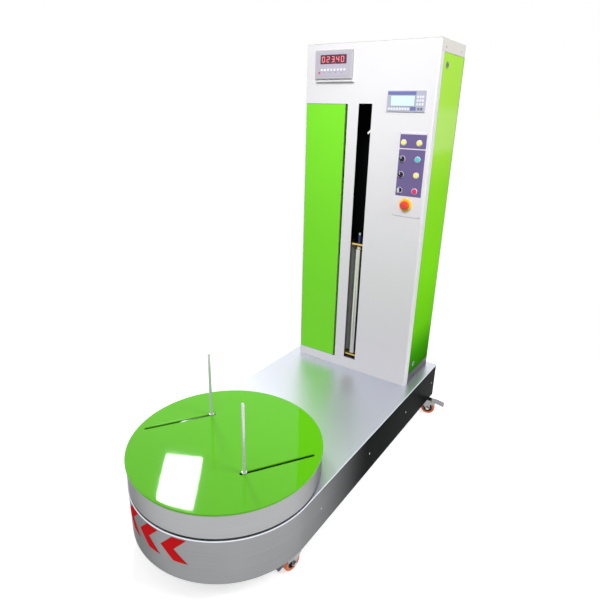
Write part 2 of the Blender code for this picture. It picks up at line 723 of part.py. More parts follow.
def turntable_skirt():
    """Stainless ring that hangs from the table's edge."""
    outer = TABLE_RADIUS - TABLE_SKIRT_INSET
    inner = outer - SKIRT_SHEET
    low = BASE_TOP + TABLE_GAP
    high = TABLE_UNDER - GAP
    profile = [(outer, high), (outer, low), (inner, low), (inner, high)]
    skirt = turned("turntable_skirt", profile, TABLE_STEPS, (0, TABLE_Y, 0), ring=True)
    return finish(skirt, STAINLESS)


def table_sprocket():
    """Spindle, sprocket and top flange in one piece, turning in the bearing."""
    flange_high = TABLE_UNDER - GAP
    hub_low = BASE_TOP + BEARING_RISE + GAP
    flange_low = flange_high - SPINDLE_FLANGE
    foot = BASE_TOP - SPINDLE_DEPTH
    profile = [
        (0, flange_high), (SPINDLE_FLANGE_RADIUS, flange_high), (SPINDLE_FLANGE_RADIUS, flange_low),
        (SPINDLE_HUB_RADIUS, flange_low), (SPINDLE_HUB_RADIUS, hub_low),
        (SPINDLE_RADIUS, hub_low), (SPINDLE_RADIUS, foot), (0, foot),
    ]
    spindle = turned("table_sprocket", profile, 28, (0, TABLE_Y, 0))
    teeth = sprocket_outline(TABLE_TEETH, TABLE_CHAIN_PITCH)
    rim = extruded("table_sprocket_rim", [teeth], SPROCKET_LOW, SPROCKET_LOW + SPROCKET_SHEET,
                   (0, TABLE_Y, 0))
    join(spindle, rim)
    return finish(spindle, BARE_STEEL)


def clamp_rods(plate):
    """Two upright rods, each held in its slot by a collar above and a nut below."""
    neck = ROD_COLLAR_RADIUS
    seat = TABLE_TOP + GAP
    nut = TABLE_UNDER - GAP
    tip = TABLE_TOP + ROD_HEIGHT
    profile = [
        (0, tip), (ROD_RADIUS - ROD_TIP, tip), (ROD_RADIUS, tip - ROD_TIP),
        (ROD_RADIUS, seat + ROD_COLLAR), (neck, seat + ROD_COLLAR), (neck, seat), (ROD_RADIUS, seat),
        (ROD_RADIUS, nut), (neck, nut), (neck, nut - ROD_NUT), (0, nut - ROD_NUT),
    ]
    for side, frame in zip(("front", "rear"), slot_frames()):
        foot = frame @ Vector((ROD_REST, 0, 0))
        rod = turned("clamp_rod_" + side, profile, 14, foot)
        attach(finish(rod, CHROME), plate)


def table_bearing():
    """Flanged housing that carries the spindle on the load cell."""
    beam_top = BASE_BOTTOM + SKIRT_SHEET + BEAM_HEIGHT
    low = beam_top + GAP + LOAD_CELL_SIZE[2] + GAP
    high = BASE_TOP + BEARING_RISE
    bore = SPINDLE_RADIUS + RUN
    foot = low + BEARING_FOOT
    profile = [
        (BEARING_RADIUS, high), (BEARING_RADIUS, foot), (BEARING_FOOT_RADIUS, foot),
        (BEARING_FOOT_RADIUS, low), (bore, low), (bore, high),
    ]
    finish(turned("table_bearing_housing", profile, 32, (0, TABLE_Y, 0), ring=True), GREY_PAINT)
    length, width, height = LOAD_CELL_SIZE
    cell = box("load_cell", (-length / 2, TABLE_Y - width / 2, beam_top + GAP),
               (length / 2, TABLE_Y + width / 2, beam_top + GAP + height))
    finish(cell, BARE_STEEL)


def table_drive():
    """Worm gearmotor, its sprocket and the chain to the table."""
    width, depth, height = GEARBOX_SIZE
    plate_high = PLATE_UNDER - GAP - RAIL_HEIGHT - GAP
    plate_low = plate_high - MOTOR_PLATE
    box_low = plate_low - height
    span = depth / 2 + MOTOR_BEAM
    motor = box("table_gearmotor", (-MOTOR_PLATE_WIDTH / 2, DRIVE_Y - span, plate_low),
                (MOTOR_PLATE_WIDTH / 2, DRIVE_Y + span, plate_high))
    case = box("table_gearbox_case", (-width / 2, DRIVE_Y - depth / 2, box_low),
               (width / 2, DRIVE_Y + depth / 2, plate_high - WELD))
    barrel_z = plate_low - height / 2
    barrel = disc("table_motor_barrel", MOTOR_RADIUS, -MOTOR_LENGTH, WELD, 24,
                  (0, DRIVE_Y + depth / 2, barrel_z), (math.pi / 2, 0, 0))
    shaft = disc("table_motor_shaft", DRIVE_SHAFT_RADIUS, plate_high - WELD, SPROCKET_LOW - GAP, 16,
                 (0, DRIVE_Y, 0))
    join(motor, case, barrel, shaft)
    finish(motor, GREY_PAINT)
    top = SPROCKET_LOW + SPROCKET_SHEET
    teeth = sprocket_outline(DRIVE_TEETH, TABLE_CHAIN_PITCH)
    sprocket = extruded("table_drive_sprocket", [teeth], SPROCKET_LOW, top, (0, DRIVE_Y, 0))
    hub = disc("table_drive_hub", DRIVE_HUB_RADIUS, top - WELD, top + DRIVE_HUB, 16, (0, DRIVE_Y, 0))
    join(sprocket, hub)
    finish(sprocket, BARE_STEEL)
    reach = TOOTH_HEIGHT / 2 + CHAIN_SLACK
    big = TABLE_CHAIN_PITCH / (2 * math.sin(math.pi / TABLE_TEETH)) + reach
    small = TABLE_CHAIN_PITCH / (2 * math.sin(math.pi / DRIVE_TEETH)) + reach
    loops = []
    for extra in (CHAIN_THICKNESS, 0):
        loops.append(belt_outline((0, TABLE_Y), big + extra, (0, DRIVE_Y), small + extra, 24))
    finish(extruded("table_chain", loops, SPROCKET_LOW, top), BARE_STEEL)


def turntable():
    """Everything that turns with the table, and what carries and drives it."""
    plate = turntable_plate()
    attach(turntable_skirt(), plate)
    attach(table_sprocket(), plate)
    clamp_rods(plate)
    table_bearing()
    table_drive()


# ------------------------------------------------------------------- column
def column_frame():
    """Cage of square tubes with a sill, a head ring and the upper sprocket's hanger."""
    edge = HALF_COLUMN
    inner = UPRIGHT_INSIDE
    outer = UPRIGHT_OUTSIDE
    back = UPRIGHT_BACK
    behind_return = COLUMN_FRONT + FRONT_RETURN + GAP
    low = HEAD_LOW
    high = COLUMN_TOP - PANEL_SHEET - GAP
    sheet = HALF_COLUMN - PANEL_SHEET - GAP
    corner = behind_return + UPRIGHT
    sill = SILL_TOP - GAP
    front = FRONT_INSIDE + CORNER_RADIUS
    beam = COLUMN_FRONT + INDICATOR_BODY + INDICATOR_BORDER
    hanger_right = LIFT_X + HANGER_WIDTH / 2
    frame = box("column_frame", (inner, behind_return, COLUMN_LOW), (edge, back, SILL_TOP))
    pieces = [
        box("sill_left", (-edge, behind_return, COLUMN_LOW), (-inner, back, SILL_TOP)),
        box("sill_corner_right", (inner, UPRIGHT_FRONT, COLUMN_LOW), (sheet, corner, SILL_TOP)),
        box("sill_corner_left", (-sheet, UPRIGHT_FRONT, COLUMN_LOW), (-inner, corner, SILL_TOP)),
        box("sill_front", (-outer, UPRIGHT_FRONT, COLUMN_LOW), (outer, UPRIGHT_FRONT + UPRIGHT, sill)),
        box("sill_back", (-outer, back - UPRIGHT, COLUMN_LOW), (outer, back, sill)),
        box("head_front", (-sheet, beam, low), (sheet, beam + UPRIGHT, high)),
        box("head_back", (-sheet, back - UPRIGHT, low), (sheet, back, high)),
        box("head_right", (inner, front, low), (sheet, back, high)),
        box("head_left", (-sheet, front, low), (-inner, back, high)),
        box("head_plate", (GUIDE_X - SLEEVE_HALF, beam, low), (hanger_right, back, low + HEAD_PLATE)),
    ]
    for side, left, right in (("right", inner, outer), ("left", -outer, -inner)):
        for end, near in (("front", UPRIGHT_FRONT), ("back", back - UPRIGHT)):
            pieces.append(box("upright_" + end + "_" + side, (left, near, COLUMN_LOW),
                              (right, near + UPRIGHT, high)))
    hanger_front = LIFT_Y + LIFT_HUB + GAP
    shaft_z = COLUMN_TOP - LIFT_HIGH
    pieces.append(box("lift_hanger",
                      (LIFT_X - HANGER_WIDTH / 2, hanger_front, shaft_z - HANGER_WIDTH / 2),
                      (hanger_right, hanger_front + HANGER_DEPTH, low + WELD)))
    pieces.append(disc("lift_idler_pin", LIFT_SHAFT_RADIUS, -WELD, LIFT_HUB * 2, 16,
                       (LIFT_X, hanger_front, shaft_z), (math.pi / 2, 0, 0)))
    join(frame, *pieces)
    return finish(frame, WHITE_PAINT)


def cutout(left, top, size, border):
    """Opening behind an instrument's bezel: left, right, low, high."""
    width, height = size
    clear = border - CUTOUT_CLEAR
    return left + clear, left + width - clear, top - height + clear, top - clear


def front_cutters():
    """Openings in the front panel."""
    near = COLUMN_FRONT - PAST
    far = FRONT_INSIDE + PANEL_SHEET
    door_low = SLOT_LOW - FILM_OPENING_DROP
    door_high = SLOT_HIGH - FILM_OPENING_SHORT
    door_left = -HALF_COLUMN + FILM_DOOR_LEFT
    indicator_top = COLUMN_TOP - INDICATOR_DROP
    hmi_top = COLUMN_TOP - HMI_DROP
    spans = {
        "slot": (-SLOT_HALF_WIDTH, SLOT_HALF_WIDTH, SLOT_LOW, SLOT_HIGH),
        "film_opening": (door_left, FILM_OPENING_RIGHT, door_low, door_high),
        "indicator": cutout(INDICATOR_LEFT, indicator_top, INDICATOR_SIZE, INDICATOR_BORDER),
        "hmi": cutout(HMI_LEFT, hmi_top, HMI_SIZE, HMI_BORDER),
        "controls": cutout(PLATE_LEFT, PLATE_TOP, PLATE_SIZE, PLATE_BORDER),
    }
    cutters = []
    for name, (left, right, low, high) in spans.items():
        cutters.append(box("front_" + name, (left, near, low), (right, far, high)))
    return cutters


def column_front_panel():
    """White front sheet with folded returns, the film slot and the shelf under the indicator."""
    top = COLUMN_TOP - PANEL_SHEET - GAP
    panel = extruded("column_front_panel", [channel_outline()], COLUMN_LOW, top)
    shelf_top = COLUMN_TOP - INDICATOR_DROP - INDICATOR_SIZE[1] - SHELF_DROP
    shelf_left = INDICATOR_LEFT + INDICATOR_BORDER
    shelf_right = INDICATOR_LEFT + INDICATOR_SIZE[0] + SHELF_OVERHANG
    shelf = box("indicator_shelf", (shelf_left, COLUMN_FRONT - SHELF_DEPTH, shelf_top - SHELF_SHEET),
                (shelf_right, COLUMN_FRONT + WELD, shelf_top))
    corner = COLUMN_FRONT + CORNER_RADIUS + GAP
    behind = COLUMN_FRONT + FRONT_RETURN + PAST
    notch = box("front_top_notch", (-COLUMN_WIDTH, corner, CAP_LOW - GAP),
                (COLUMN_WIDTH, behind, COLUMN_TOP + PAST))
    join(panel, shelf)
    cut(panel, notch, *front_cutters())
    return finish(panel, WHITE_PAINT)


def column_top_cover():
    """Cap with folded sides and back that sits behind the front sheet."""
    front = COLUMN_FRONT + CORNER_RADIUS + GAP * 2
    cover = box("column_top_cover", (-HALF_COLUMN, COLUMN_FRONT, CAP_LOW),
                (HALF_COLUMN, COLUMN_BACK, COLUMN_TOP))
    under = COLUMN_TOP - PANEL_SHEET
    inside = HALF_COLUMN - PANEL_SHEET
    near = COLUMN_FRONT - PAST
    low = CAP_LOW - PAST
    hollow = box("cap_hollow", (-inside, near, low), (inside, BACK_INSIDE, under))
    notch = box("cap_front_notch", (-COLUMN_WIDTH, near, low), (COLUMN_WIDTH, front, under))
    cut(cover, hollow, notch)
    return finish(cover, WHITE_PAINT)


def column_back_panel():
    """Flat back sheet with a stack of vent slots."""
    high = CAP_LOW - GAP
    panel = box("column_back_panel", (-HALF_COLUMN, BACK_INSIDE, COLUMN_LOW),
                (HALF_COLUMN, COLUMN_BACK, high))
    width, height = VENT_SIZE
    cutters = []
    for i in range(VENT_COUNT):
        low = high - VENT_DROP - i * VENT_PITCH - height / 2
        cutters.append(box("back_vent_" + str(i + 1), (-width / 2, BACK_INSIDE - PAST, low),
                           (width / 2, COLUMN_BACK + PAST, low + height)))
    cut(panel, *cutters)
    return finish(panel, WHITE_PAINT)


def column_left_panel():
    """Fixed green side sheet."""
    panel = box("column_left_panel", (-HALF_COLUMN, COLUMN_FRONT + FRONT_RETURN + GAP, SILL_TOP + GAP),
                (-HALF_COLUMN + PANEL_SHEET, BACK_INSIDE - GAP, CAP_LOW - GAP))
    return finish(panel, GREEN_PAINT)


def door_pan(name, low, high, open_side):
    """Sheet door folded back at all four edges, hollow towards open_side."""
    pan = box(name, low, high)
    hollow_low = [value + DOOR_SHEET for value in low]
    hollow_high = [value - DOOR_SHEET for value in high]
    axis, end = open_side
    if end > 0:
        hollow_high[axis] = high[axis] + DOOR_SHEET
    else:
        hollow_low[axis] = low[axis] - DOOR_SHEET
    cut(pan, box(name + "_hollow", hollow_low, hollow_high))
    return finish(pan, GREEN_PAINT)


def film_door():
    """Green door in front of the film roll, hinged at its left edge."""
    low = SLOT_LOW - FILM_OPENING_DROP + PANEL_GAP
    high = SLOT_HIGH - FILM_OPENING_SHORT - DOOR_GAP
    left = -HALF_COLUMN + FILM_DOOR_LEFT + RUN
    far = COLUMN_FRONT + DOOR_DEPTH
    door = door_pan("film_door", (left, COLUMN_FRONT, low), (FILM_DOOR_RIGHT, far, high), (1, 1))
    set_origin(door, (left, COLUMN_FRONT, low))


def side_door():
    """Green service door on the right, hinged at its back edge, with two cam locks."""
    low_z = SILL_TOP + PANEL_GAP
    high_z = CAP_LOW - PANEL_GAP
    front = COLUMN_FRONT + FRONT_RETURN + 2 * DOOR_GAP
    back = BACK_INSIDE - DOOR_GAP
    inside = HALF_COLUMN - DOOR_DEPTH
    door = door_pan("side_door", (inside, front, low_z), (HALF_COLUMN, back, high_z), (0, -1))
    set_origin(door, (HALF_COLUMN, back, low_z))
    lock_y = front + LOCK_FROM_EDGE
    spots = (("upper", high_z - LOCK_FROM_END, -1), ("lower", low_z + LOCK_FROM_END, 1))
    holes = []
    for name, height, _ in spots:
        holes.append(disc("lock_hole_" + name, LOCK_RADIUS + RUN, -DOOR_DEPTH, DOOR_DEPTH, 16,
                          (HALF_COLUMN, lock_y, height), (0, math.pi / 2, 0)))
    cut(door, *holes)
    for name, height, way in spots:
        attach(cam_lock(name, (HALF_COLUMN, lock_y, height), way), door)


def cam_lock(name, centre, way):
    """Quarter-turn lock: a round body through the door and a cam that points up or down inside."""
    face = LOCK_HEAD + GAP
    cam_high = UPRIGHT_INSIDE - LOCK_CAM_GAP
    cam_low = cam_high - LOCK_CAM
    end = cam_high - HALF_COLUMN - WELD
    profile = [
        (0, face), (LOCK_HEAD_RADIUS - LOCK_EDGE, face), (LOCK_HEAD_RADIUS, face - LOCK_EDGE),
        (LOCK_HEAD_RADIUS, GAP), (LOCK_RADIUS, GAP), (LOCK_RADIUS, end), (0, end),
    ]
    lock = turned("side_door_lock_" + name, profile, 16, centre, (0, math.pi / 2, 0))
    _, lock_y, height = centre
    half = LOCK_CAM_WIDTH / 2
    low, high = sorted((height + way * LOCK_REACH, height - way * half))
    join(lock, box("lock_cam_" + name, (cam_low, lock_y - half, low), (cam_high, lock_y + half, high)))
    return finish(lock, CHROME)


# ------------------------------------------------------------ film carriage
def guide_places():
    """Centre of each guide rod."""
    front = COLUMN_FRONT + GUIDE_FRONT
    return (("front", front), ("rear", front + GUIDE_SPACING))


def guide_rods():
    """Ground rods between the base and the head plate."""
    for name, y in guide_places():
        rod = disc("guide_rod_" + name, GUIDE_RADIUS, COLUMN_LOW, HEAD_LOW - GAP, 20, (GUIDE_X, y, 0))
        finish(rod, CHROME)


def carriage_frame():
    """Two plates and a web that hold the roll and the rollers, with sleeves on the guide rods."""
    left = CARRIAGE_LEFT
    right = CARRIAGE_RIGHT
    front = COLUMN_FRONT + CARRIAGE_FRONT
    rear = COLUMN_FRONT + CARRIAGE_REAR
    low = CARRIAGE_LOW
    high = CARRIAGE_HIGH
    near = COLUMN_FRONT + GUIDE_FRONT - SLEEVE_HALF
    far = near + GUIDE_SPACING + 2 * SLEEVE_HALF
    sleeve_left = GUIDE_X - SLEEVE_HALF
    tongue_left, tongue_right = TONGUE
    tongue_front = COLUMN_FRONT + TONGUE_FRONT
    tongue_back = front + CARRIAGE_PLATE
    frame = box("carriage_frame", (left, front, low), (right, rear, CARRIAGE_FLOOR))
    join(frame,
         box("carriage_tongue_low", (tongue_left, tongue_front, low),
             (tongue_right, tongue_back, CARRIAGE_FLOOR)),
         box("carriage_tongue_high", (tongue_left, tongue_front, CARRIAGE_CEILING),
             (tongue_right, tongue_back, high)),
         box("carriage_ceiling", (left, front, CARRIAGE_CEILING), (right, rear, high)),
         box("carriage_web", (left, rear - CARRIAGE_WEB, low), (right, rear, high)),
         box("carriage_sleeve_low", (sleeve_left, near, CARRIAGE_FLOOR - WELD),
             (right, far, low + SLEEVE_HEIGHT)),
         box("carriage_sleeve_high", (sleeve_left, near, high - SLEEVE_HEIGHT),
             (right, far, CARRIAGE_CEILING + WELD)))
    bores = [(name, GUIDE_X, y, GUIDE_RADIUS, 20) for name, y in guide_places()]
    seats = (
        ("exit_roller", EXIT_ROLLER, EXIT_SPINDLE_RADIUS),
        ("roller_front", STRETCH_ROLLER_FRONT, ROLLER_PIN_RADIUS),
        ("roller_rear", STRETCH_ROLLER_REAR, ROLLER_PIN_RADIUS),
    )
    for name, (x, back, _), pin in seats:
        bores.append((name, x, COLUMN_FRONT + back, pin, 12))
    cutters = []
    for name, x, y, radius, steps in bores:
        cutters.append(disc("carriage_bore_" + name, radius + RUN, low - PAST, high + PAST, steps,
                            (x, y, 0)))
    cutters.append(box("carriage_notch", (HMI_LEFT - NOTCH_CLEAR, front - PAST, low - PAST),
                       (right + PAST, COLUMN_FRONT + HMI_BODY + NOTCH_CLEAR, high + PAST)))
    cut(frame, *cutters)
    return finish(frame, YELLOW_ZINC)


def stretch_roller(name, spot):
    """Rubbered roller on two pins."""
    x, back, radius = spot
    low = CARRIAGE_FLOOR + ROLLER_FOOT
    high = CARRIAGE_CEILING - ROLLER_FOOT
    pin = ROLLER_PIN_RADIUS
    edge = ROLLER_EDGE
    profile = [
        (0, CARRIAGE_HIGH - GAP), (pin, CARRIAGE_HIGH - GAP), (pin, high), (radius - edge, high),
        (radius, high - edge), (radius, low + edge), (radius - edge, low), (pin, low),
        (pin, CARRIAGE_LOW + GAP), (0, CARRIAGE_LOW + GAP),
    ]
    return finish(turned(name, profile, 20, (x, COLUMN_FRONT + back, 0)), GREY_PLASTIC)


def exit_roller():
    """Bright roller behind the slot, with an end cap and a spindle through the upper plate."""
    x, back, radius = EXIT_ROLLER
    low = CARRIAGE_FLOOR + ROLLER_FOOT
    high = low + EXIT_ROLLER_LENGTH
    spindle = EXIT_SPINDLE_RADIUS
    top = CARRIAGE_HIGH + EXIT_SPINDLE_RISE
    cap = high + EXIT_CAP
    shoulder = top - SPINDLE_NOSE
    profile = [
        (0, top), (spindle - SPINDLE_NOSE / 2, top - GAP), (spindle, shoulder), (spindle, cap),
        (EXIT_CAP_RADIUS, cap), (EXIT_CAP_RADIUS, high), (radius, high), (radius, low),
        (spindle, low), (spindle, CARRIAGE_LOW + GAP), (0, CARRIAGE_LOW + GAP),
    ]
    return finish(turned("exit_roller", profile, 20, (x, COLUMN_FRONT + back, 0)), CHROME)


def film_supply():
    """Roll of stretch film on its core."""
    place_xy = (FILM_ROLL_X, COLUMN_FRONT + FILM_ROLL_BACK, 0)
    low = CARRIAGE_FLOOR + FILM_LIFT
    bore = CORE_RADIUS + GAP
    film = [(FILM_RADIUS, low + FILM_WIDTH), (FILM_RADIUS, low), (bore, low), (bore, low + FILM_WIDTH)]
    inner = CORE_RADIUS - CORE_WALL
    core_low = CARRIAGE_FLOOR + GAP
    core_high = CARRIAGE_CEILING - GAP
    core = [(CORE_RADIUS, core_high), (CORE_RADIUS, core_low), (inner, core_low), (inner, core_high)]
    return [
        finish(turned("film_roll", film, 32, place_xy, ring=True), FILM_PLASTIC),
        finish(turned("film_core", core, 24, place_xy, ring=True), CARDBOARD),
    ]


def carriage():
    """Film carriage and everything that rides on it."""
    frame = carriage_frame()
    riders = [
        exit_roller(),
        stretch_roller("stretch_roller_front", STRETCH_ROLLER_FRONT),
        stretch_roller("stretch_roller_rear", STRETCH_ROLLER_REAR),
        *film_supply(),
    ]
    for rider in riders:
        attach(rider, frame)


# --------------------------------------------------------------- lift drive
def lift_sprocket(name, height):
    """Sprocket with a hub and a bore, its own Z towards -Y."""
    centre = (LIFT_X, LIFT_Y, height)
    facing = (math.pi / 2, 0, 0)
    half = LIFT_CHAIN_WIDTH / 2
    bore = circle((0, 0), LIFT_SHAFT_RADIUS + RUN, 16)
    teeth = sprocket_outline(LIFT_TEETH, LIFT_CHAIN_PITCH)
    rim = extruded(name, [teeth, bore], -half, half, centre, facing)
    inside = LIFT_SHAFT_RADIUS + RUN + GAP
    top = WELD - half
    ring = [(LIFT_HUB_RADIUS, top), (LIFT_HUB_RADIUS, -LIFT_HUB), (inside, -LIFT_HUB), (inside, top)]
    join(rim, turned(name + "_hub", ring, 16, centre, facing, ring=True))
    return finish(rim, BARE_STEEL)


def lift_drive():
    """Gearmotor at the foot of the column, two sprockets and the lift chain."""
    low_z = BASE_TOP + LIFT_LOW
    high_z = COLUMN_TOP - LIFT_HIGH
    lift_sprocket("lift_sprocket_lower", low_z)
    lift_sprocket("lift_sprocket_upper", high_z)
    outer = LIFT_CHAIN_INSIDE + CHAIN_THICKNESS
    half = LIFT_CHAIN_WIDTH / 2
    rise = (0, high_z - low_z)
    facing = (math.pi / 2, 0, 0)
    loops = [belt_outline((0, 0), radius, rise, radius, 14) for radius in (outer, LIFT_CHAIN_INSIDE)]
    chain = extruded("lift_chain", loops, -half, half, (LIFT_X, LIFT_Y, low_z), facing)
    finish(chain, BARE_STEEL)

    width, depth, height = LIFT_GEARBOX_SIZE
    left = LIFT_X - LIFT_GEARBOX_LEFT
    front = LIFT_Y + LIFT_HUB + GAP
    top = COLUMN_LOW + height
    motor = box("lift_gearmotor", (left, front, COLUMN_LOW), (left + width, front + depth, top))
    shaft = disc("lift_motor_shaft", LIFT_SHAFT_RADIUS, -WELD, LIFT_HUB * 2, 16,
                 (LIFT_X, front, low_z), facing)
    barrel = disc("lift_motor_barrel", LIFT_MOTOR_RADIUS, top - WELD, top + LIFT_MOTOR_HEIGHT, 24,
                  (left + width / 2 + LIFT_MOTOR_SHIFT, front + depth / 2, 0))
    join(motor, shaft, barrel)
    finish(motor, GREY_PAINT)

    box_width, box_depth = CONTROL_BOX_SIZE
    right = UPRIGHT_OUTSIDE - DOOR_GAP * 2
    back = UPRIGHT_BACK - UPRIGHT - GAP
    low = top + LIFT_MOTOR_HEIGHT + CONTROL_BOX_CLEAR
    cabinet = box("control_box", (right - box_width, back - box_depth, low),
                  (right, back, COLUMN_TOP - CONTROL_BOX_HIGH))
    finish(cabinet, GREY_PAINT)


# --------------------------------------------------------- front face items
def panel_device(name, place_xz, size, depths, border):
    """Instrument with a bezel in front of the panel and a body through its cut-out."""
    left, top = place_xz
    width, height = size
    bezel, body = depths
    back = COLUMN_FRONT - GAP
    device = box(name, (left, back - bezel, top - height), (left + width, back, top))
    round_edges(device, BEZEL_EDGE)
    body_low = (left + border, back - bezel / 2, top - height + border)
    body_high = (left + width - border, COLUMN_FRONT + body, top - border)
    join(device, box(name + "_body", body_low, body_high))
    return finish(device, GREY_PLASTIC)


def control_spots():
    """Name and centre of each control on the plate, and the radius of its hole."""
    left = PLATE_LEFT + LEFT_ROW
    right = PLATE_LEFT + RIGHT_ROW
    rows = [PLATE_TOP - drop for drop in CONTROL_DROPS]
    return {
        "button_yellow_left": (left, rows[0], BUTTON_RADIUS, YELLOW_PLASTIC),
        "button_yellow_right": (right, rows[0], BUTTON_RADIUS, YELLOW_PLASTIC),
        "button_green": (right, rows[1], BUTTON_RADIUS, GREEN_PLASTIC),
        "button_yellow_lower": (right, rows[2], BUTTON_RADIUS, YELLOW_PLASTIC),
        "button_red": (right, rows[3], BUTTON_RADIUS, RED_PLASTIC),
        "knob_upper": (left, rows[1], KNOB_SHAFT_RADIUS, BLACK_PLASTIC),
        "knob_lower": (left, rows[2], KNOB_SHAFT_RADIUS, BLACK_PLASTIC),
        "selector_switch": (left, rows[3], KNOB_SHAFT_RADIUS, BLACK_PLASTIC),
    }


def control_plate():
    """Light plate that carries the push buttons, knobs and the stop button."""
    width, height = PLATE_SIZE
    outline = [(PLATE_LEFT, PLATE_TOP - height), (PLATE_LEFT + width, PLATE_TOP - height),
               (PLATE_LEFT + width, PLATE_TOP), (PLATE_LEFT, PLATE_TOP)]
    loops = [outline]
    for x, z, radius, _ in control_spots().values():
        loops.append(circle((x, z), radius + GAP, 14))
    stop = (PLATE_LEFT + ESTOP_ACROSS, PLATE_TOP - ESTOP_DROP)
    loops.append(circle(stop, ESTOP_NECK_RADIUS + GAP, 16))
    plate = extruded("control_plate", loops, 0, PLATE_SHEET, (0, PLATE_BACK, 0), (math.pi / 2, 0, 0))
    return finish(plate, WHITE_PAINT)


def push_button(name, x, z, look):
    """Cap that slides in the plate, kept in by a flange behind it."""
    front = PLATE_SHEET + BUTTON_RISE
    flange = BUTTON_RADIUS + BUTTON_FLANGE
    seat = -GAP
    under = seat - BUTTON_FLANGE_SHEET
    stem = BUTTON_STEM_RADIUS
    profile = [
        (0, front), (BUTTON_RADIUS - BUTTON_EDGE, front), (BUTTON_RADIUS, front - BUTTON_EDGE),
        (BUTTON_RADIUS, seat), (flange, seat), (flange, under), (stem, under), (stem, -BUTTON_STEM),
        (0, -BUTTON_STEM),
    ]
    return finish(turned(name, profile, 14, (x, PLATE_BACK, z), (math.pi / 2, 0, 0)), look)


def knob(name, x, z, look):
    """Round knob with a pointer ridge, or a bar grip on the selector."""
    selector = name == "selector_switch"
    base = PLATE_SHEET + GAP
    top = base + (SELECTOR_RISE if selector else KNOB_RISE)
    shaft = KNOB_SHAFT_RADIUS
    profile = [
        (0, top), (KNOB_RADIUS - KNOB_TAPER, top), (KNOB_RADIUS, base), (shaft, base),
        (shaft, -KNOB_SHAFT), (0, -KNOB_SHAFT),
    ]
    piece = turned(name, profile, 14, (x, PLATE_BACK, z), (math.pi / 2, 0, 0))
    face = PLATE_BACK - top
    if selector:
        width, length, rise = GRIP_SIZE
        low = z - length / 2
        high = z + length / 2
    else:
        width, rise = KNOB_RIDGE
        low = z + GAP
        high = z + KNOB_RADIUS - KNOB_TAPER - GAP
    join(piece, box(name + "_grip", (x - width / 2, face - rise, low), (x + width / 2, face + WELD, high)))
    return finish(piece, look)


def emergency_stop():
    """Yellow collar and red mushroom head on a neck through the plate."""
    centre = (PLATE_LEFT + ESTOP_ACROSS, PLATE_BACK, PLATE_TOP - ESTOP_DROP)
    facing = (math.pi / 2, 0, 0)
    base = PLATE_SHEET + GAP
    face = base + ESTOP_COLLAR
    neck = ESTOP_NECK_RADIUS
    collar = [
        (ESTOP_COLLAR_RADIUS - ESTOP_EDGE, face), (ESTOP_COLLAR_RADIUS, face - ESTOP_EDGE),
        (ESTOP_COLLAR_RADIUS, base), (neck + GAP, base), (neck + GAP, face),
    ]
    finish(turned("estop_collar", collar, 28, centre, facing, ring=True), YELLOW_PLASTIC)
    low = face + ESTOP_TRAVEL + RUN
    high = low + ESTOP_HEAD
    head = [(0, high)]
    for share, drop in ESTOP_CROWN:
        head.append((ESTOP_RADIUS * share, high - drop))
    head += [(ESTOP_WAIST, low), (neck, low), (neck, -BUTTON_STEM), (0, -BUTTON_STEM)]
    finish(turned("estop_mushroom", head, 24, centre, facing), RED_PLASTIC)


def front_items():
    """Instruments and controls on the front face."""
    panel_device("scale_indicator", (INDICATOR_LEFT, COLUMN_TOP - INDICATOR_DROP), INDICATOR_SIZE,
                 (INDICATOR_BEZEL, INDICATOR_BODY), INDICATOR_BORDER)
    panel_device("hmi_terminal", (HMI_LEFT, COLUMN_TOP - HMI_DROP), HMI_SIZE,
                 (HMI_BEZEL, HMI_BODY), HMI_BORDER)
    control_plate()
    for name, (x, z, _, look) in control_spots().items():
        if name.startswith("button"):
            push_button(name, x, z, look)
        else:
            knob(name, x, z, look)
    emergency_stop()


def main():
    """Build the whole machine."""
    base_frame()
    base_skirt()
    base_top_plate()
    casters()
    turntable()
    column_frame()
    column_front_panel()
    column_top_cover()
    column_back_panel()
    column_left_panel()
    film_door()
    side_door()
    guide_rods()
    carriage()
    lift_drive()
    front_items()


main()
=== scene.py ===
"""Turntable wrapping machine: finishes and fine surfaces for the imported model."""
import json
import math

import bmesh
import bpy
from bpy.props import FloatProperty, FloatVectorProperty, IntProperty, PointerProperty
from mathutils import Matrix, Vector
from mathutils.geometry import tessellate_polygon


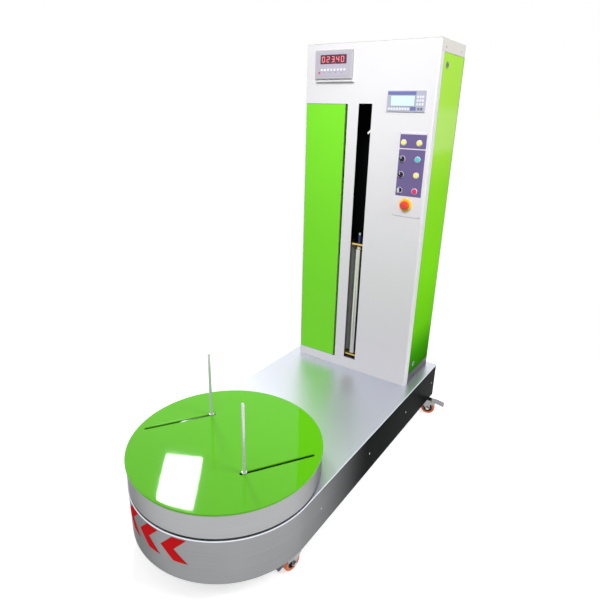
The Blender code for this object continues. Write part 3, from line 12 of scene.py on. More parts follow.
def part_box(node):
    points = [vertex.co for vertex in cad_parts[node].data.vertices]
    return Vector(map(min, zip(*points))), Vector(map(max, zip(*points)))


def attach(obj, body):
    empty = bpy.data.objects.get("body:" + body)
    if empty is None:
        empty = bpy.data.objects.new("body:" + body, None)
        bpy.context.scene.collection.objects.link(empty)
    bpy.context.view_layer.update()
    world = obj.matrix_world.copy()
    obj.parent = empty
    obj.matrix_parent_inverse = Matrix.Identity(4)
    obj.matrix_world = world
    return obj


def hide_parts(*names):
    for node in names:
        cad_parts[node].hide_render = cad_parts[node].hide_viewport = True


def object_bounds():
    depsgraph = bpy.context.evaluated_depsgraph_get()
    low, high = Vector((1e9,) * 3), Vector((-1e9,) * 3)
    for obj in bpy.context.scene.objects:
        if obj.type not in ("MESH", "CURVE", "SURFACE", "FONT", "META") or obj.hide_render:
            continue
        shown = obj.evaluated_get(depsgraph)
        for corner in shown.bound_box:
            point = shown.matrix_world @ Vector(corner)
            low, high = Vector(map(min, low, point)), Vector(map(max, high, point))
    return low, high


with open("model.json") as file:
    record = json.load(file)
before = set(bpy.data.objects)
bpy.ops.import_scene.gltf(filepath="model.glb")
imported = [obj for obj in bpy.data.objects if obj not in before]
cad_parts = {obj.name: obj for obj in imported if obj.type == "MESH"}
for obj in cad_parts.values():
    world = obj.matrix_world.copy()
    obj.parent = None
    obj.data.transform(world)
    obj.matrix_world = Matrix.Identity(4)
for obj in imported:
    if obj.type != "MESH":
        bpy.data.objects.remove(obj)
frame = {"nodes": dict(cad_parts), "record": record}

bl_info = {
    "name": "Turntable wrapping machine",
    "version": (1, 0, 0),
    "blender": (4, 5, 0),
    "location": "View3D > Sidebar > Wrapper",
    "description": "Finishes a turntable wrapping machine piece by piece",
    "category": "Object",
}

CAD_LOW, CAD_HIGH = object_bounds()
GAP = 0.0003                # between faces that rest on each other
SHEET = 0.002               # thickness of the sheet metal
FINISHED = "_finish"        # ends the name of every material that is made here

TABLE_LOW, TABLE_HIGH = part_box("turntable_plate")
TABLE_RADIUS = (TABLE_HIGH.x - TABLE_LOW.x) / 2
TABLE_Y = (TABLE_LOW.y + TABLE_HIGH.y) / 2
DECK_LOW, DECK_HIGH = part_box("base_top_plate")
WALL_LOW, WALL_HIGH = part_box("base_skirt")
FRONT_LOW, FRONT_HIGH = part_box("column_front_panel")
COVER_LOW, COVER_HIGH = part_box("column_top_cover")
CONTROL_LOW, CONTROL_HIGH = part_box("control_plate")
PLATE_FACE = CONTROL_HIGH.y - CONTROL_LOW.y     # front of the control plate above its back
FILM_FACE = PLATE_FACE + 0.0004                 # front of the printed film on it
COLUMN_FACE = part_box("film_door")[0].y          # the front sheet lies flush with the door
FACING_FRONT = Matrix.Rotation(math.pi / 2, 4, "X")
FACING_RIGHT = Matrix.Rotation(math.pi / 2, 4, "Y")


# ------------------------------------------------------------- user settings
def colour(label, about, value):
    """Colour property with linear red, green and blue."""
    return FloatVectorProperty(name=label, description=about, subtype="COLOR", size=3, min=0, max=1,
                               default=value)


def length(label, about, value):
    """Length property in metres."""
    return FloatProperty(name=label, description=about, default=value, min=0, unit="LENGTH", precision=5)


def power(label, about, value):
    """Lamp power property in watts."""
    return FloatProperty(name=label, description=about, default=value, min=0, unit="POWER")


class WrapperColours(bpy.types.PropertyGroup):
    """Colours of the finishes."""
    door_green: colour("Door green", "Gloss paint of the doors and the side sheet", (0.215, 0.80, 0.030))
    table_green: colour("Table green", "Gloss paint of the turntable", (0.125, 0.545, 0.008))
    sheet_white: colour("Sheet white", "Powder coat of the column", (0.80, 0.785, 0.815))
    cover_white: colour("Cover white", "Powder coat of the top cover", (0.74, 0.72, 0.66))
    # Painted shade: near black for the column's inner faces, where shade falls.
    inside_painted_shade: colour("Inside dark", "Primer inside the column", (0.012, 0.013, 0.016))
    deck_steel: colour("Deck steel", "Satin stainless deck", (0.76, 0.79, 0.86))
    wall_steel: colour("Wall steel", "Brushed stainless wall at the nose", (0.285, 0.29, 0.295))
    # Painted reflection: near black that the wall's colour runs to towards the back, in place of the dark
    # that the steel mirrors.
    wall_painted_dark_reflection: colour("Wall shade", "Brushed stainless wall at the back", (0.026, 0.028, 0.028))
    ring_steel: colour("Ring steel", "Brushed stainless ring under the table", (0.37, 0.375, 0.38))
    zinc: colour("Yellow zinc", "Passivated carriage plates", (0.80, 0.58, 0.16))
    chrome: colour("Chrome", "Bright plated forks and pedals", (0.30, 0.30, 0.31))
    tyre: colour("Tyre", "Polyurethane caster tyres", (0.80, 0.17, 0.035))
    machine_grey: colour("Machine grey", "Painted motors, frame and control box", (0.23, 0.25, 0.27))
    instrument_grey: colour("Instrument grey", "Moulded instrument housings", (0.50, 0.49, 0.52))
    plate_lilac: colour("Control plate", "Coated control plate", (0.80, 0.77, 0.82))
    film_purple: colour("Control film", "Printed film on the control plate", (0.145, 0.108, 0.275))
    amber: colour("Amber lens", "Yellow push button lenses", (0.84, 0.74, 0.22))
    turquoise: colour("Green lens", "Green push button lens", (0.07, 0.54, 0.56))
    ruby: colour("Red lens", "Red push button lens", (0.72, 0.015, 0.13))
    stop_red: colour("Stop red", "Emergency stop head", (0.80, 0.045, 0.03))
    stop_yellow: colour("Stop yellow", "Emergency stop collar", (0.90, 0.62, 0.03))
    mark_red: colour("Mark red", "Direction marks on the nose", (0.85, 0.018, 0.022))


class WrapperSizes(bpy.types.PropertyGroup):
    """Sizes of the fine surfaces."""
    sheet_edge: length("Sheet edge", "Rounding of cut sheet edges", 0.0006)
    table_edge: length("Table edge", "Rounding of the turntable's rim", 0.0026)
    fold_radius: length("Fold radius", "Outside radius of the door folds", 0.0022)
    slot_width: length("Table slot", "Width of the clamp rod slots", 0.013)
    screw_radius: length("Screw head", "Radius of the panel screw heads", 0.0042)
    mark_height: length("Mark height", "Height of the direction marks", 0.104)
    round_steps: IntProperty(name="Round steps", description="Facets round the turntable", default=160,
                             min=24)


class WrapperStage(bpy.types.PropertyGroup):
    """Light, floor and camera."""
    ambient: FloatProperty(name="Ambient", description="Light from all round", default=0.50, min=0)
    floor_tone: FloatProperty(name="Floor tone", description="Floor reflectance", default=0.80, min=0,
                              max=1)
    front_lamp: power("Front lamp", "Lamp above the table, aimed at the column", 9)
    fill_lamp: power("Fill lamp", "Large lamp in front", 15)
    side_lamp: power("Side lamp", "Large lamp on the right", 56)
    window_lamp: power("Window lamp", "Small bright lamp on the left", 22)
    lens: FloatProperty(name="Lens", description="Focal length", default=29.6, min=1, unit="CAMERA")


# ------------------------------------------------------------ shader groups
def node(tree, kind, place, **settings):
    """New node at a place in the editor, with its settings."""
    made = tree.nodes.new(kind)
    made.location = place
    for key, value in settings.items():
        setattr(made, key, value)
    return made


def new_group(name, inputs, outputs):
    """Shader node group with its sockets, and its input and output nodes."""
    tree = bpy.data.node_groups.new(name, "ShaderNodeTree")
    for label, kind, value in inputs:
        socket = tree.interface.new_socket(label, in_out="INPUT", socket_type=kind)
        socket.default_value = value
    for label, kind in outputs:
        tree.interface.new_socket(label, in_out="OUTPUT", socket_type=kind)
    return tree, node(tree, "NodeGroupInput", (-900, 0)), node(tree, "NodeGroupOutput", (700, 0))


def plug(tree, socket, source):
    """Link a socket to another one, or set it to a plain value."""
    if isinstance(source, bpy.types.NodeSocket):
        tree.links.new(source, socket)
    else:
        socket.default_value = source


def math_node(tree, operation, place, *sources, clamp=False):
    """Result of a Math node fed from sockets or numbers."""
    made = node(tree, "ShaderNodeMath", place, operation=operation, use_clamp=clamp)
    for socket, source in zip(made.inputs, sources):
        plug(tree, socket, source)
    return made.outputs[0]


def find_node(tree, kind):
    """First node of a kind."""
    return next(n for n in tree.nodes if n.type == kind)


def add_noise(tree, scale, detail, place):
    """Noise texture over object coordinates, with its scale from a socket or a number."""
    coords = node(tree, "ShaderNodeTexCoord", (place[0] - 200, place[1]))
    noise = node(tree, "ShaderNodeTexNoise", place)
    noise.inputs["Detail"].default_value = detail
    tree.links.new(coords.outputs["Object"], noise.inputs["Vector"])
    plug(tree, noise.inputs["Scale"], scale)
    return noise.outputs["Fac"]


def swing(tree, value, centre, amount, place):
    """centre + (value - 0.5) * amount, where centre and amount are sockets or numbers."""
    shift = math_node(tree, "SUBTRACT", place, value, 0.5)
    return math_node(tree, "MULTIPLY_ADD", (place[0] + 180, place[1]), shift, amount, centre)


def tint(tree, base, value, place):
    """Base colour multiplied by a grey value."""
    mix = node(tree, "ShaderNodeVectorMath", place, operation="SCALE")
    tree.links.new(base, mix.inputs[0])
    tree.links.new(value, mix.inputs["Scale"])
    return mix.outputs[0]


def mix_colours(tree, mask, first, second, place):
    """Colour that goes from first to second, each a socket or a colour, along a mask."""
    mix = node(tree, "ShaderNodeMix", place, data_type="RGBA")
    tree.links.new(mask, mix.inputs["Factor"])
    for socket, source in zip(mix.inputs[6:8], (first, second)):
        plug(tree, socket, source)
    return mix.outputs[2]


def object_axis(tree, axis, place):
    """Object coordinate along one axis."""
    coords = node(tree, "ShaderNodeTexCoord", place)
    split = node(tree, "ShaderNodeSeparateXYZ", (place[0] + 200, place[1]))
    tree.links.new(coords.outputs["Object"], split.inputs[0])
    return split.outputs[axis]


COAT_RELIEF, METAL_RELIEF = 0.0002, 0.0001      # height of the grain and of the brush lines
FINISH_OUTPUTS = (("Color", "NodeSocketColor"), ("Roughness", "NodeSocketFloat"),
                  ("Height", "NodeSocketFloat"))


def coat_group():
    """Paint and moulded plastic: soft smudges, uneven gloss and a fine grain."""
    tree, source, result = new_group("Coat Finish", (
        ("Color", "NodeSocketColor", (0.5, 0.5, 0.5, 1)), ("Tone", "NodeSocketFloat", 0.06),
        ("Roughness", "NodeSocketFloat", 0.3), ("Swing", "NodeSocketFloat", 0.1),
        ("Grain", "NodeSocketFloat", 500.0)), FINISH_OUTPUTS)
    smudge = add_noise(tree, 3.1, 6.0, (-600, 200))
    cloud = add_noise(tree, 17.0, 3.0, (-600, -50))
    grain = add_noise(tree, source.outputs["Grain"], 2.0, (-600, -300))
    tone = swing(tree, smudge, 1.0, source.outputs["Tone"], (-350, 200))
    tree.links.new(tint(tree, source.outputs["Color"], tone, (100, 200)), result.inputs["Color"])
    rough = swing(tree, cloud, source.outputs["Roughness"], source.outputs["Swing"], (-350, -50))
    tree.links.new(rough, result.inputs["Roughness"])
    tree.links.new(grain, result.inputs["Height"])
    return tree


def metal_group():
    """Bare metal: brush lines along one direction, with smudges over them."""
    tree, source, result = new_group("Metal Finish", (
        ("Color", "NodeSocketColor", (0.5, 0.5, 0.5, 1)), ("Tone", "NodeSocketFloat", 0.08),
        ("Roughness", "NodeSocketFloat", 0.3), ("Swing", "NodeSocketFloat", 0.12),
        ("Brush", "NodeSocketVector", (3, 900, 900))), FINISH_OUTPUTS)
    coords = node(tree, "ShaderNodeTexCoord", (-900, 300))
    stretch = node(tree, "ShaderNodeVectorMath", (-700, 300), operation="MULTIPLY")
    tree.links.new(coords.outputs["Object"], stretch.inputs[0])
    tree.links.new(source.outputs["Brush"], stretch.inputs[1])
    lines = node(tree, "ShaderNodeTexNoise", (-500, 300))
    lines.inputs["Scale"].default_value = 1.0
    lines.inputs["Detail"].default_value = 3.0
    tree.links.new(stretch.outputs[0], lines.inputs["Vector"])
    smudge = add_noise(tree, 2.6, 5.0, (-500, 0))
    streak = swing(tree, lines.outputs["Fac"], 1.0, source.outputs["Tone"], (-300, 300))
    cloud = swing(tree, smudge, 1.0, source.outputs["Tone"], (-300, 0))
    both = math_node(tree, "MULTIPLY", (100, 200), streak, cloud)
    tree.links.new(tint(tree, source.outputs["Color"], both, (300, 200)), result.inputs["Color"])
    rough = swing(tree, smudge, source.outputs["Roughness"], source.outputs["Swing"], (-300, -200))
    tree.links.new(rough, result.inputs["Roughness"])
    tree.links.new(lines.outputs["Fac"], result.inputs["Height"])
    return tree


def dust_group():
    """Dust that settles on faces that look up, in patches."""
    tree, source, result = new_group("Settled Dust", (
        ("Color", "NodeSocketColor", (0.5, 0.5, 0.5, 1)), ("Dust", "NodeSocketColor", (0.4, 0.38, 0.35, 1)),
        ("Amount", "NodeSocketFloat", 0.3)), (("Color", "NodeSocketColor"), ("Mask", "NodeSocketFloat")))
    shape = node(tree, "ShaderNodeNewGeometry", (-700, 0))
    split = node(tree, "ShaderNodeSeparateXYZ", (-500, 0))
    tree.links.new(shape.outputs["Normal"], split.inputs[0])
    patches = add_noise(tree, 24.0, 5.0, (-500, -250))
    upward = math_node(tree, "MULTIPLY", (-300, 0), split.outputs["Z"], patches, clamp=True)
    mask = math_node(tree, "MULTIPLY", (-100, 0), upward, source.outputs["Amount"], clamp=True)
    mixed = mix_colours(tree, mask, source.outputs["Color"], source.outputs["Dust"], (200, 0))
    tree.links.new(mixed, result.inputs["Color"])
    tree.links.new(mask, result.inputs["Mask"])
    return tree


def shared_group(name, build):
    """Node group by name, built the first time it is asked for."""
    return bpy.data.node_groups.get(name) or build()


# ---------------------------------------------------------------- materials
def rgba(value):
    """Colour with full alpha."""
    return (*value, 1)


def start_material(name, metallic, specular, coat):
    """Principled material with its values that are the same all over."""
    material = bpy.data.materials.new(name + FINISHED)
    material.use_nodes = True
    tree = material.node_tree
    tree.nodes.clear()
    output = node(tree, "ShaderNodeOutputMaterial", (900, 0))
    shader = node(tree, "ShaderNodeBsdfPrincipled", (600, 0))
    tree.links.new(shader.outputs[0], output.inputs["Surface"])
    for label, value in (("Metallic", metallic), ("Specular IOR Level", specular),
                         ("Coat Weight", coat), ("Coat Roughness", 0.03)):
        shader.inputs[label].default_value = value
    return material, tree, shader


def finished(name, group, shader_values, finish_values, bump, depth):
    """Material whose shader is fed from a finish group, made the first time it is asked for."""
    found = bpy.data.materials.get(name + FINISHED)
    if found:
        return found
    material, tree, shader = start_material(name, *shader_values)
    finish = node(tree, "ShaderNodeGroup", (100, 0), node_tree=group)
    for label, value in finish_values.items():
        finish.inputs[label].default_value = value
    tree.links.new(finish.outputs["Color"], shader.inputs["Base Color"])
    tree.links.new(finish.outputs["Roughness"], shader.inputs["Roughness"])
    relief = node(tree, "ShaderNodeBump", (350, -300))
    relief.inputs["Strength"].default_value = bump
    relief.inputs["Distance"].default_value = depth
    tree.links.new(finish.outputs["Height"], relief.inputs["Height"])
    tree.links.new(relief.outputs[0], shader.inputs["Normal"])
    return material


def coated(name, base, roughness=0.3, specular=0.5, coat=0.0, tone=0.06, unevenness=0.1, grain=700,
           bump=0.06):
    """Paint or moulded plastic."""
    return finished(name, shared_group("Coat Finish", coat_group), (0, specular, coat),
                    {"Color": rgba(base), "Tone": tone, "Roughness": roughness, "Swing": unevenness,
                     "Grain": grain}, bump, COAT_RELIEF)


def bare(name, base, roughness=0.3, brush=(3, 900, 900), tone=0.1, unevenness=0.12, bump=0.05):
    """Bare or plated metal."""
    return finished(name, shared_group("Metal Finish", metal_group), (1, 0.5, 0),
                    {"Color": rgba(base), "Tone": tone, "Roughness": roughness, "Swing": unevenness,
                     "Brush": brush}, bump, METAL_RELIEF)


def add_dust(material, base, amount):
    """Lay settled dust over a material whose own colour is base."""
    tree = material.node_tree
    if "Settled Dust" in tree.nodes:
        return material
    dust = node(tree, "ShaderNodeGroup", (350, 200), node_tree=shared_group("Settled Dust", dust_group))
    dust.name = "Settled Dust"
    dust.inputs["Color"].default_value = rgba(base)
    dust.inputs["Amount"].default_value = amount
    tree.links.new(find_node(tree, "GROUP").outputs["Color"], dust.inputs["Color"])
    tree.links.new(dust.outputs["Color"], find_node(tree, "BSDF_PRINCIPLED").inputs["Base Color"])
    return material


def lit(name, base, strength, roughness=0.25):
    """Lens or display that glows a little over its own colour."""
    material = coated(name, base, roughness=roughness, tone=0.12, grain=300)
    tree = material.node_tree
    shader = find_node(tree, "BSDF_PRINCIPLED")
    tree.links.new(find_node(tree, "GROUP").outputs["Color"], shader.inputs["Emission Color"])
    shader.inputs["Emission Strength"].default_value = strength
    return material


def axis_mask(tree, axis, near, far, place, centred=False):
    """Value that runs from 0 at near to 1 at far along an object axis, or on both sides of it."""
    value = object_axis(tree, axis, (place[0] - 600, place[1]))
    if centred:
        value = math_node(tree, "ABSOLUTE", (place[0] - 200, place[1]), value)
    fit = node(tree, "ShaderNodeMapRange", place, interpolation_type="SMOOTHSTEP")
    fit.inputs["From Min"].default_value = near
    fit.inputs["From Max"].default_value = far
    tree.links.new(value, fit.inputs["Value"])
    return fit.outputs["Result"]


def two_tone(material, first, second, mask):
    """Change a finish's colour from first to second, each a socket or a colour, along a mask."""
    tree = material.node_tree
    mixed = mix_colours(tree, mask, first, second, (-100, 200))
    tree.links.new(mixed, find_node(tree, "GROUP").inputs["Color"])
    return mixed


def darken_rim(material, value):
    """Lower a metal's mirror at glancing angles."""
    find_node(material.node_tree, "BSDF_PRINCIPLED").inputs["Specular Tint"].default_value = rgba([value] * 3)


def shade_of(base, share):
    """Darker shade of a colour."""
    return rgba([share * value for value in base])


def height_tones(material, box, stops):
    """Give a finish a run of colours from the bottom to the top of a box."""
    tree = material.node_tree
    height = object_axis(tree, "Z", (-900, 200))
    share = node(tree, "ShaderNodeMapRange", (-500, 200))
    share.inputs["From Min"].default_value = box[0].z
    share.inputs["From Max"].default_value = box[1].z
    tree.links.new(height, share.inputs["Value"])
    ramp = node(tree, "ShaderNodeValToRGB", (-250, 200))
    while len(ramp.color_ramp.elements) < len(stops):
        ramp.color_ramp.elements.new(0.5)
    for element, (place, tone) in zip(ramp.color_ramp.elements, stops):
        element.position = place
        element.color = rgba(tone)
    tree.links.new(share.outputs[0], ramp.inputs[0])
    tree.links.new(ramp.outputs[0], find_node(tree, "GROUP").inputs["Color"])


def wall_steel(colours):
    """Brushed stainless wall with painted reflection: its colour darkens towards the back and at the nose's
    left, in place of the dark that the steel mirrors.
    """
    material = bare("wall_steel", colours.wall_steel, roughness=0.30, brush=(4, 4, 700), tone=0.32)
    tree = material.node_tree
    # Painted reflection: the colour runs from the nose tone to near black towards the back.
    back = axis_mask(tree, "Y", -0.52, 0.04, (-400, 400))
    painted_reflection_to_back = two_tone(material, rgba(colours.wall_steel), rgba(colours.wall_painted_dark_reflection), back)
    # Painted reflection: the nose's left and the left wall are painted darker too.
    left = axis_mask(tree, "X", -0.20, -0.36, (-400, 700))
    two_tone(material, painted_reflection_to_back, shade_of(colours.wall_steel, 0.34), left)
    darken_rim(material, 0.4)
    return material


def white_outside(name, base, axis, near, far, centred=False):
    """White coat outside and painted shade inside: a near black colour on the inner faces, where shade falls,
    divided along an axis.
    """
    dark = bpy.context.scene.wrapper_colours.inside_painted_shade
    material = coated(name, base, roughness=0.33, specular=0.35, tone=0.04, grain=900)
    divide = axis_mask(material.node_tree, axis, near, far, (-400, 400), centred)
    # Painted shade: near black beyond the mask's far end.
    two_tone(material, rgba(base), rgba(dark), divide)
    return material


def chrome():
    """Bright plating of forks, pedals, locks and guide rods."""
    return bare("chrome", bpy.context.scene.wrapper_colours.chrome, roughness=0.16, brush=(300, 300, 8))


def bare_steel():
    """Oily steel of chains, sprockets and the load cell."""
    return bare("bare_steel", (0.42, 0.42, 0.43), roughness=0.38, brush=(60, 60, 60), tone=0.2)


def machine_grey():
    """Grey paint of motors, frame and control box, with dust on it."""
    grey = bpy.context.scene.wrapper_colours.machine_grey
    return add_dust(coated("machine_grey", grey, roughness=0.42, tone=0.1), grey, 0.5)


def black_plastic():
    """Black plastic of knobs, keys and cable glands."""
    return coated("black_plastic", (0.014, 0.014, 0.022), roughness=0.30, specular=0.22, tone=0.3,
                  grain=1500)


def recess_painted_shade():
    """Painted shade: near black for the screws' cross recesses, where the hollow is in shade."""
    return coated("recess_painted_shade", (0.006, 0.006, 0.007), roughness=0.6, tone=0.3)


def door_green():
    """Gloss green of the film door and the left side sheet."""
    return coated("door_green", bpy.context.scene.wrapper_colours.door_green, roughness=0.20,
                  specular=0.12, tone=0.05, unevenness=0.08, grain=260, bump=0.03)


def side_green():
    """Green coat of the side door, with painted shade deepening towards its foot and painted highlight and
    reflection in the pale bands near its top.
    """
    material = coated("side_green", bpy.context.scene.wrapper_colours.door_green, roughness=0.24,
                      specular=0.0, tone=0.05, unevenness=0.08, grain=260, bump=0.03)
    # Painted light: the dark stops at the foot are painted shade, and the pale stops from 0.72 up are painted
    # highlight and reflection.
    painted_shade_foot, fresh, pale = (0.030, 0.22, 0.004), (0.25, 0.86, 0.018), (0.46, 0.86, 0.09)
    height_tones(material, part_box("side_door"), (
        (0.0, painted_shade_foot), (0.07, (0.055, 0.38, 0.006)), (0.16, (0.17, 0.70, 0.012)), (0.36, fresh),
        (0.62, (0.30, 0.82, 0.030)), (0.72, (0.40, 0.85, 0.06)), (0.75, (0.52, 0.88, 0.17)),
        (0.84, (0.52, 0.88, 0.17)), (0.87, pale), (1.0, pale)))
    return material


def screw_steel():
    """Zinc plated steel of screws, bolts and ball races."""
    return bare("screw_steel", (0.55, 0.55, 0.56), roughness=0.28, brush=(200, 200, 200))


# ------------------------------------------------------------- mesh helpers
def arc(centre, radius, start, end, steps):
    """Points along an arc, angles in degrees."""
    points = []
    for i in range(steps + 1):
        angle = math.radians(start + (end - start) * i / steps)
        points.append((centre[0] + radius * math.cos(angle), centre[1] + radius * math.sin(angle)))
    return points


def circle(centre, radius, steps=32):
    """Points round a full circle."""
    return arc(centre, radius, 0, 360 - 360 / steps, steps - 1)


def oblong(low, high, radius, steps=6):
    """Rectangle with round corners, between two corners."""
    (x0, y0), (x1, y1) = low, high
    corners = (((x1 - radius, y0 + radius), 270), ((x1 - radius, y1 - radius), 0),
               ((x0 + radius, y1 - radius), 90), ((x0 + radius, y0 + radius), 180))
    points = []
    for centre, start in corners:
        points += arc(centre, radius, start, start + 90, steps)
    return points


def append_mesh(shape, mesh, place):
    """Add a mesh to a shape at a place, and drop the mesh."""
    mesh.transform(place)
    shape.from_mesh(mesh)
    bpy.data.meshes.remove(mesh)


def add_plate(shape, loops, low, high, edge=0.0, place=Matrix()):
    """Flat outline with holes between two heights, with round edges."""
    curve = bpy.data.curves.new("outline", "CURVE")
    curve.dimensions = "2D"
    curve.fill_mode = "BOTH"
    curve.extrude = (high - low) / 2 - edge
    curve.bevel_depth = edge
    curve.bevel_resolution = 2
    curve.offset = -edge
    for loop in loops:
        spline = curve.splines.new("POLY")
        spline.points.add(len(loop) - 1)
        for point, (x, y) in zip(spline.points, loop):
            point.co = (x, y, 0, 1)
        spline.use_cyclic_u = True
    guide = bpy.data.objects.new("outline", curve)
    bpy.context.scene.collection.objects.link(guide)
    graph = bpy.context.evaluated_depsgraph_get()
    mesh = bpy.data.meshes.new_from_object(guide.evaluated_get(graph))
    bpy.data.objects.remove(guide, do_unlink=True)
    bpy.data.curves.remove(curve)
    welded = bmesh.new()
    welded.from_mesh(mesh)
    bmesh.ops.remove_doubles(welded, verts=welded.verts, dist=0.000002)
    welded.to_mesh(mesh)
    welded.free()
    append_mesh(shape, mesh, place @ Matrix.Translation((0, 0, (low + high) / 2)))


def plates(outlines, low, high, edge, place=Matrix()):
    """New shape with one plate for each outline, which is a list of loops."""
    shape = bmesh.new()
    for loops in outlines:
        add_plate(shape, loops, low, high, edge, place)
    return shape


def add_sheet(shape, loops, low, high, place=Matrix()):
    """Flat outline with holes and sharp edges between two heights."""
    points = [point for loop in loops for point in loop]
    bottom = [shape.verts.new(place @ Vector((*point, low))) for point in points]
    top = [shape.verts.new(place @ Vector((*point, high))) for point in points]
    for a, b, c in tessellate_polygon([[Vector((*point, 0)) for point in loop] for loop in loops]):
        shape.faces.new((bottom[a], bottom[b], bottom[c]))
        shape.faces.new((top[c], top[b], top[a]))
    start = 0
    for loop in loops:
        count = len(loop)
        for i in range(count):
            a = start + i
            b = start + (i + 1) % count
            shape.faces.new((bottom[a], bottom[b], top[b], top[a]))
        start += count


def add_block(shape, low, high, edge=0.0, segments=3, place=Matrix()):
    """Block between two corners, with round edges."""
    size = Vector(high) - Vector(low)
    centre = (Vector(high) + Vector(low)) / 2
    block = bmesh.new()
    bmesh.ops.create_cube(block, size=1.0,
                          matrix=Matrix.Translation(centre) @ Matrix.Diagonal((*size, 1)))
    if edge:
        bmesh.ops.bevel(block, geom=block.edges[:], offset=edge, segments=segments, profile=0.5,
                        affect="EDGES")
    mesh = bpy.data.meshes.new("block")
    block.to_mesh(mesh)
    block.free()
    append_mesh(shape, mesh, place)


def add_turned(shape, profile, steps=48, place=Matrix(), ring=False):
    """Turned shape from (radius, height) points, about the place's own Z axis."""
    rings = []
    for radius, height in profile:
        count = steps if radius > 0 else 1
        turns = [2 * math.pi * i / steps for i in range(count)]
        rings.append([shape.verts.new(place @ Vector((radius * math.cos(t), radius * math.sin(t), height)))
                      for t in turns])
    pairs = list(zip(rings, rings[1:]))
    if ring:
        pairs.append((rings[-1], rings[0]))
    for first, second in pairs:
        for i in range(steps):
            j = (i + 1) % steps
            corners = [first[i % len(first)], first[j % len(first)],
                       second[j % len(second)], second[i % len(second)]]
            unique = list(dict.fromkeys(corners))
            if len(unique) > 2:
                shape.faces.new(unique)


def turned(profile, steps, place, ring=False):
    """New shape turned from one profile."""
    shape = bmesh.new()
    add_turned(shape, profile, steps, place, ring)
    return shape


def add_spokes(shape, count, low, high, edge, place):
    """Equal blocks round a place's own Z axis."""
    for i in range(count):
        turn = place @ Matrix.Rotation(2 * math.pi * i / count, 4, "Z")
        add_block(shape, low, high, edge, 2, turn)


def rounded_profile(radius, low, high, edge, steps=4):
    """Profile of a disc with a rounded rim at both ends."""
    return ([(0, low)] + arc((radius - edge, low + edge), edge, 270, 360, steps)
            + arc((radius - edge, high - edge), edge, 0, 90, steps) + [(0, high)])


def new_piece(name, shape, material, body, hides=(), angle=35):
    """Finished piece from a shape, riding on a body."""
    bmesh.ops.recalc_face_normals(shape, faces=shape.faces)
    mesh = bpy.data.meshes.new(name)
    shape.to_mesh(mesh)
    shape.free()
    mesh.shade_smooth()
    mesh.set_sharp_from_angle(angle=math.radians(angle))
    mesh.materials.append(material)
    piece = bpy.data.objects.new(name, mesh)
    bpy.context.scene.collection.objects.link(piece)
    even = piece.modifiers.new("flat faces", "WEIGHTED_NORMAL")
    even.keep_sharp = True
    even.weight = 100
    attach(piece, body)
    if hides:
        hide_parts(*hides)
    return piece


def thicken(piece, thickness, offset):
    """Give a piece made as a single skin its sheet thickness."""
    skin = piece.modifiers.new("sheet", "SOLIDIFY")
    skin.thickness = thickness
    skin.offset = offset
    skin.use_even_offset = True
    piece.modifiers.move(len(piece.modifiers) - 1, 0)


def dress(name, material, edge=0.0, sheet=False):
    """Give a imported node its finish, and round its edges; a sheet's flat faces are merged first."""
    thing = frame["nodes"][name]
    for slot in thing.material_slots:
        slot.material = material
    if edge:
        weld = thing.modifiers.new("weld", "WELD")
        weld.merge_threshold = 0.00001
        if sheet:
            merge = thing.modifiers.new("flat faces", "DECIMATE")
            merge.decimate_type = "DISSOLVE"
            merge.angle_limit = math.radians(0.5)
        bevel = thing.modifiers.new("edges", "BEVEL")
        bevel.width = edge
        bevel.segments = 2
        bevel.limit_method = "ANGLE"
        bevel.angle_limit = math.radians(40)
        bevel.harden_normals = False
    return thing


def joint(name):
    """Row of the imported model's joint."""
    return next(j for j in frame["record"]["behaviour"]["joints"] if j["name"] == name)


def centre_of(name):
    """Middle of a node's box."""
    low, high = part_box(name)
    return (low + high) / 2


def upright(name):
    """A round node's box and radius, and the place on the floor under its middle."""
    low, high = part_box(name)
    centre = (low + high) / 2
    return low, high, (high.x - low.x) / 2, Matrix.Translation((centre.x, centre.y, 0))


def facing_front(x, y, z):
    """Place whose own Z points out of the column's front face."""
    return Matrix.Translation((x, y, z)) @ FACING_FRONT


def screw_heads(name, spots, body, radius):
    """Pan-head screws with a painted shade cross for the recess, one for each placement matrix."""
    heads = bmesh.new()
    marks = bmesh.new()
    dome = [(0, radius * 0.42), (radius * 0.5, radius * 0.38), (radius * 0.85, radius * 0.24),
            (radius, 0.0), (radius, -GAP), (0, -GAP)]
    arm, half, sunk, proud = radius * 0.5, radius * 0.09, radius * 0.30, radius * 0.43
    for spot in spots:
        add_turned(heads, dome, 20, spot)
        for turn in (0, math.pi / 2):
            bar = spot @ Matrix.Rotation(turn, 4, "Z")
            # Painted shade: a near black cross set into the head stands in for the recess.
            add_block(marks, (-arm, -half, sunk), (arm, half, proud), place=bar)
    new_piece(name, heads, screw_steel(), body)
    new_piece(name + "_recesses", marks, recess_painted_shade(), body)


def nose_loop(inset, steps=96):
    """Base outline seen from above: half round nose, square back."""
    half = DECK_HIGH.x - inset
    back = DECK_HIGH.y - inset
    return arc((0, TABLE_Y), half, 180, 360, steps) + [(half, back), (-half, back)]


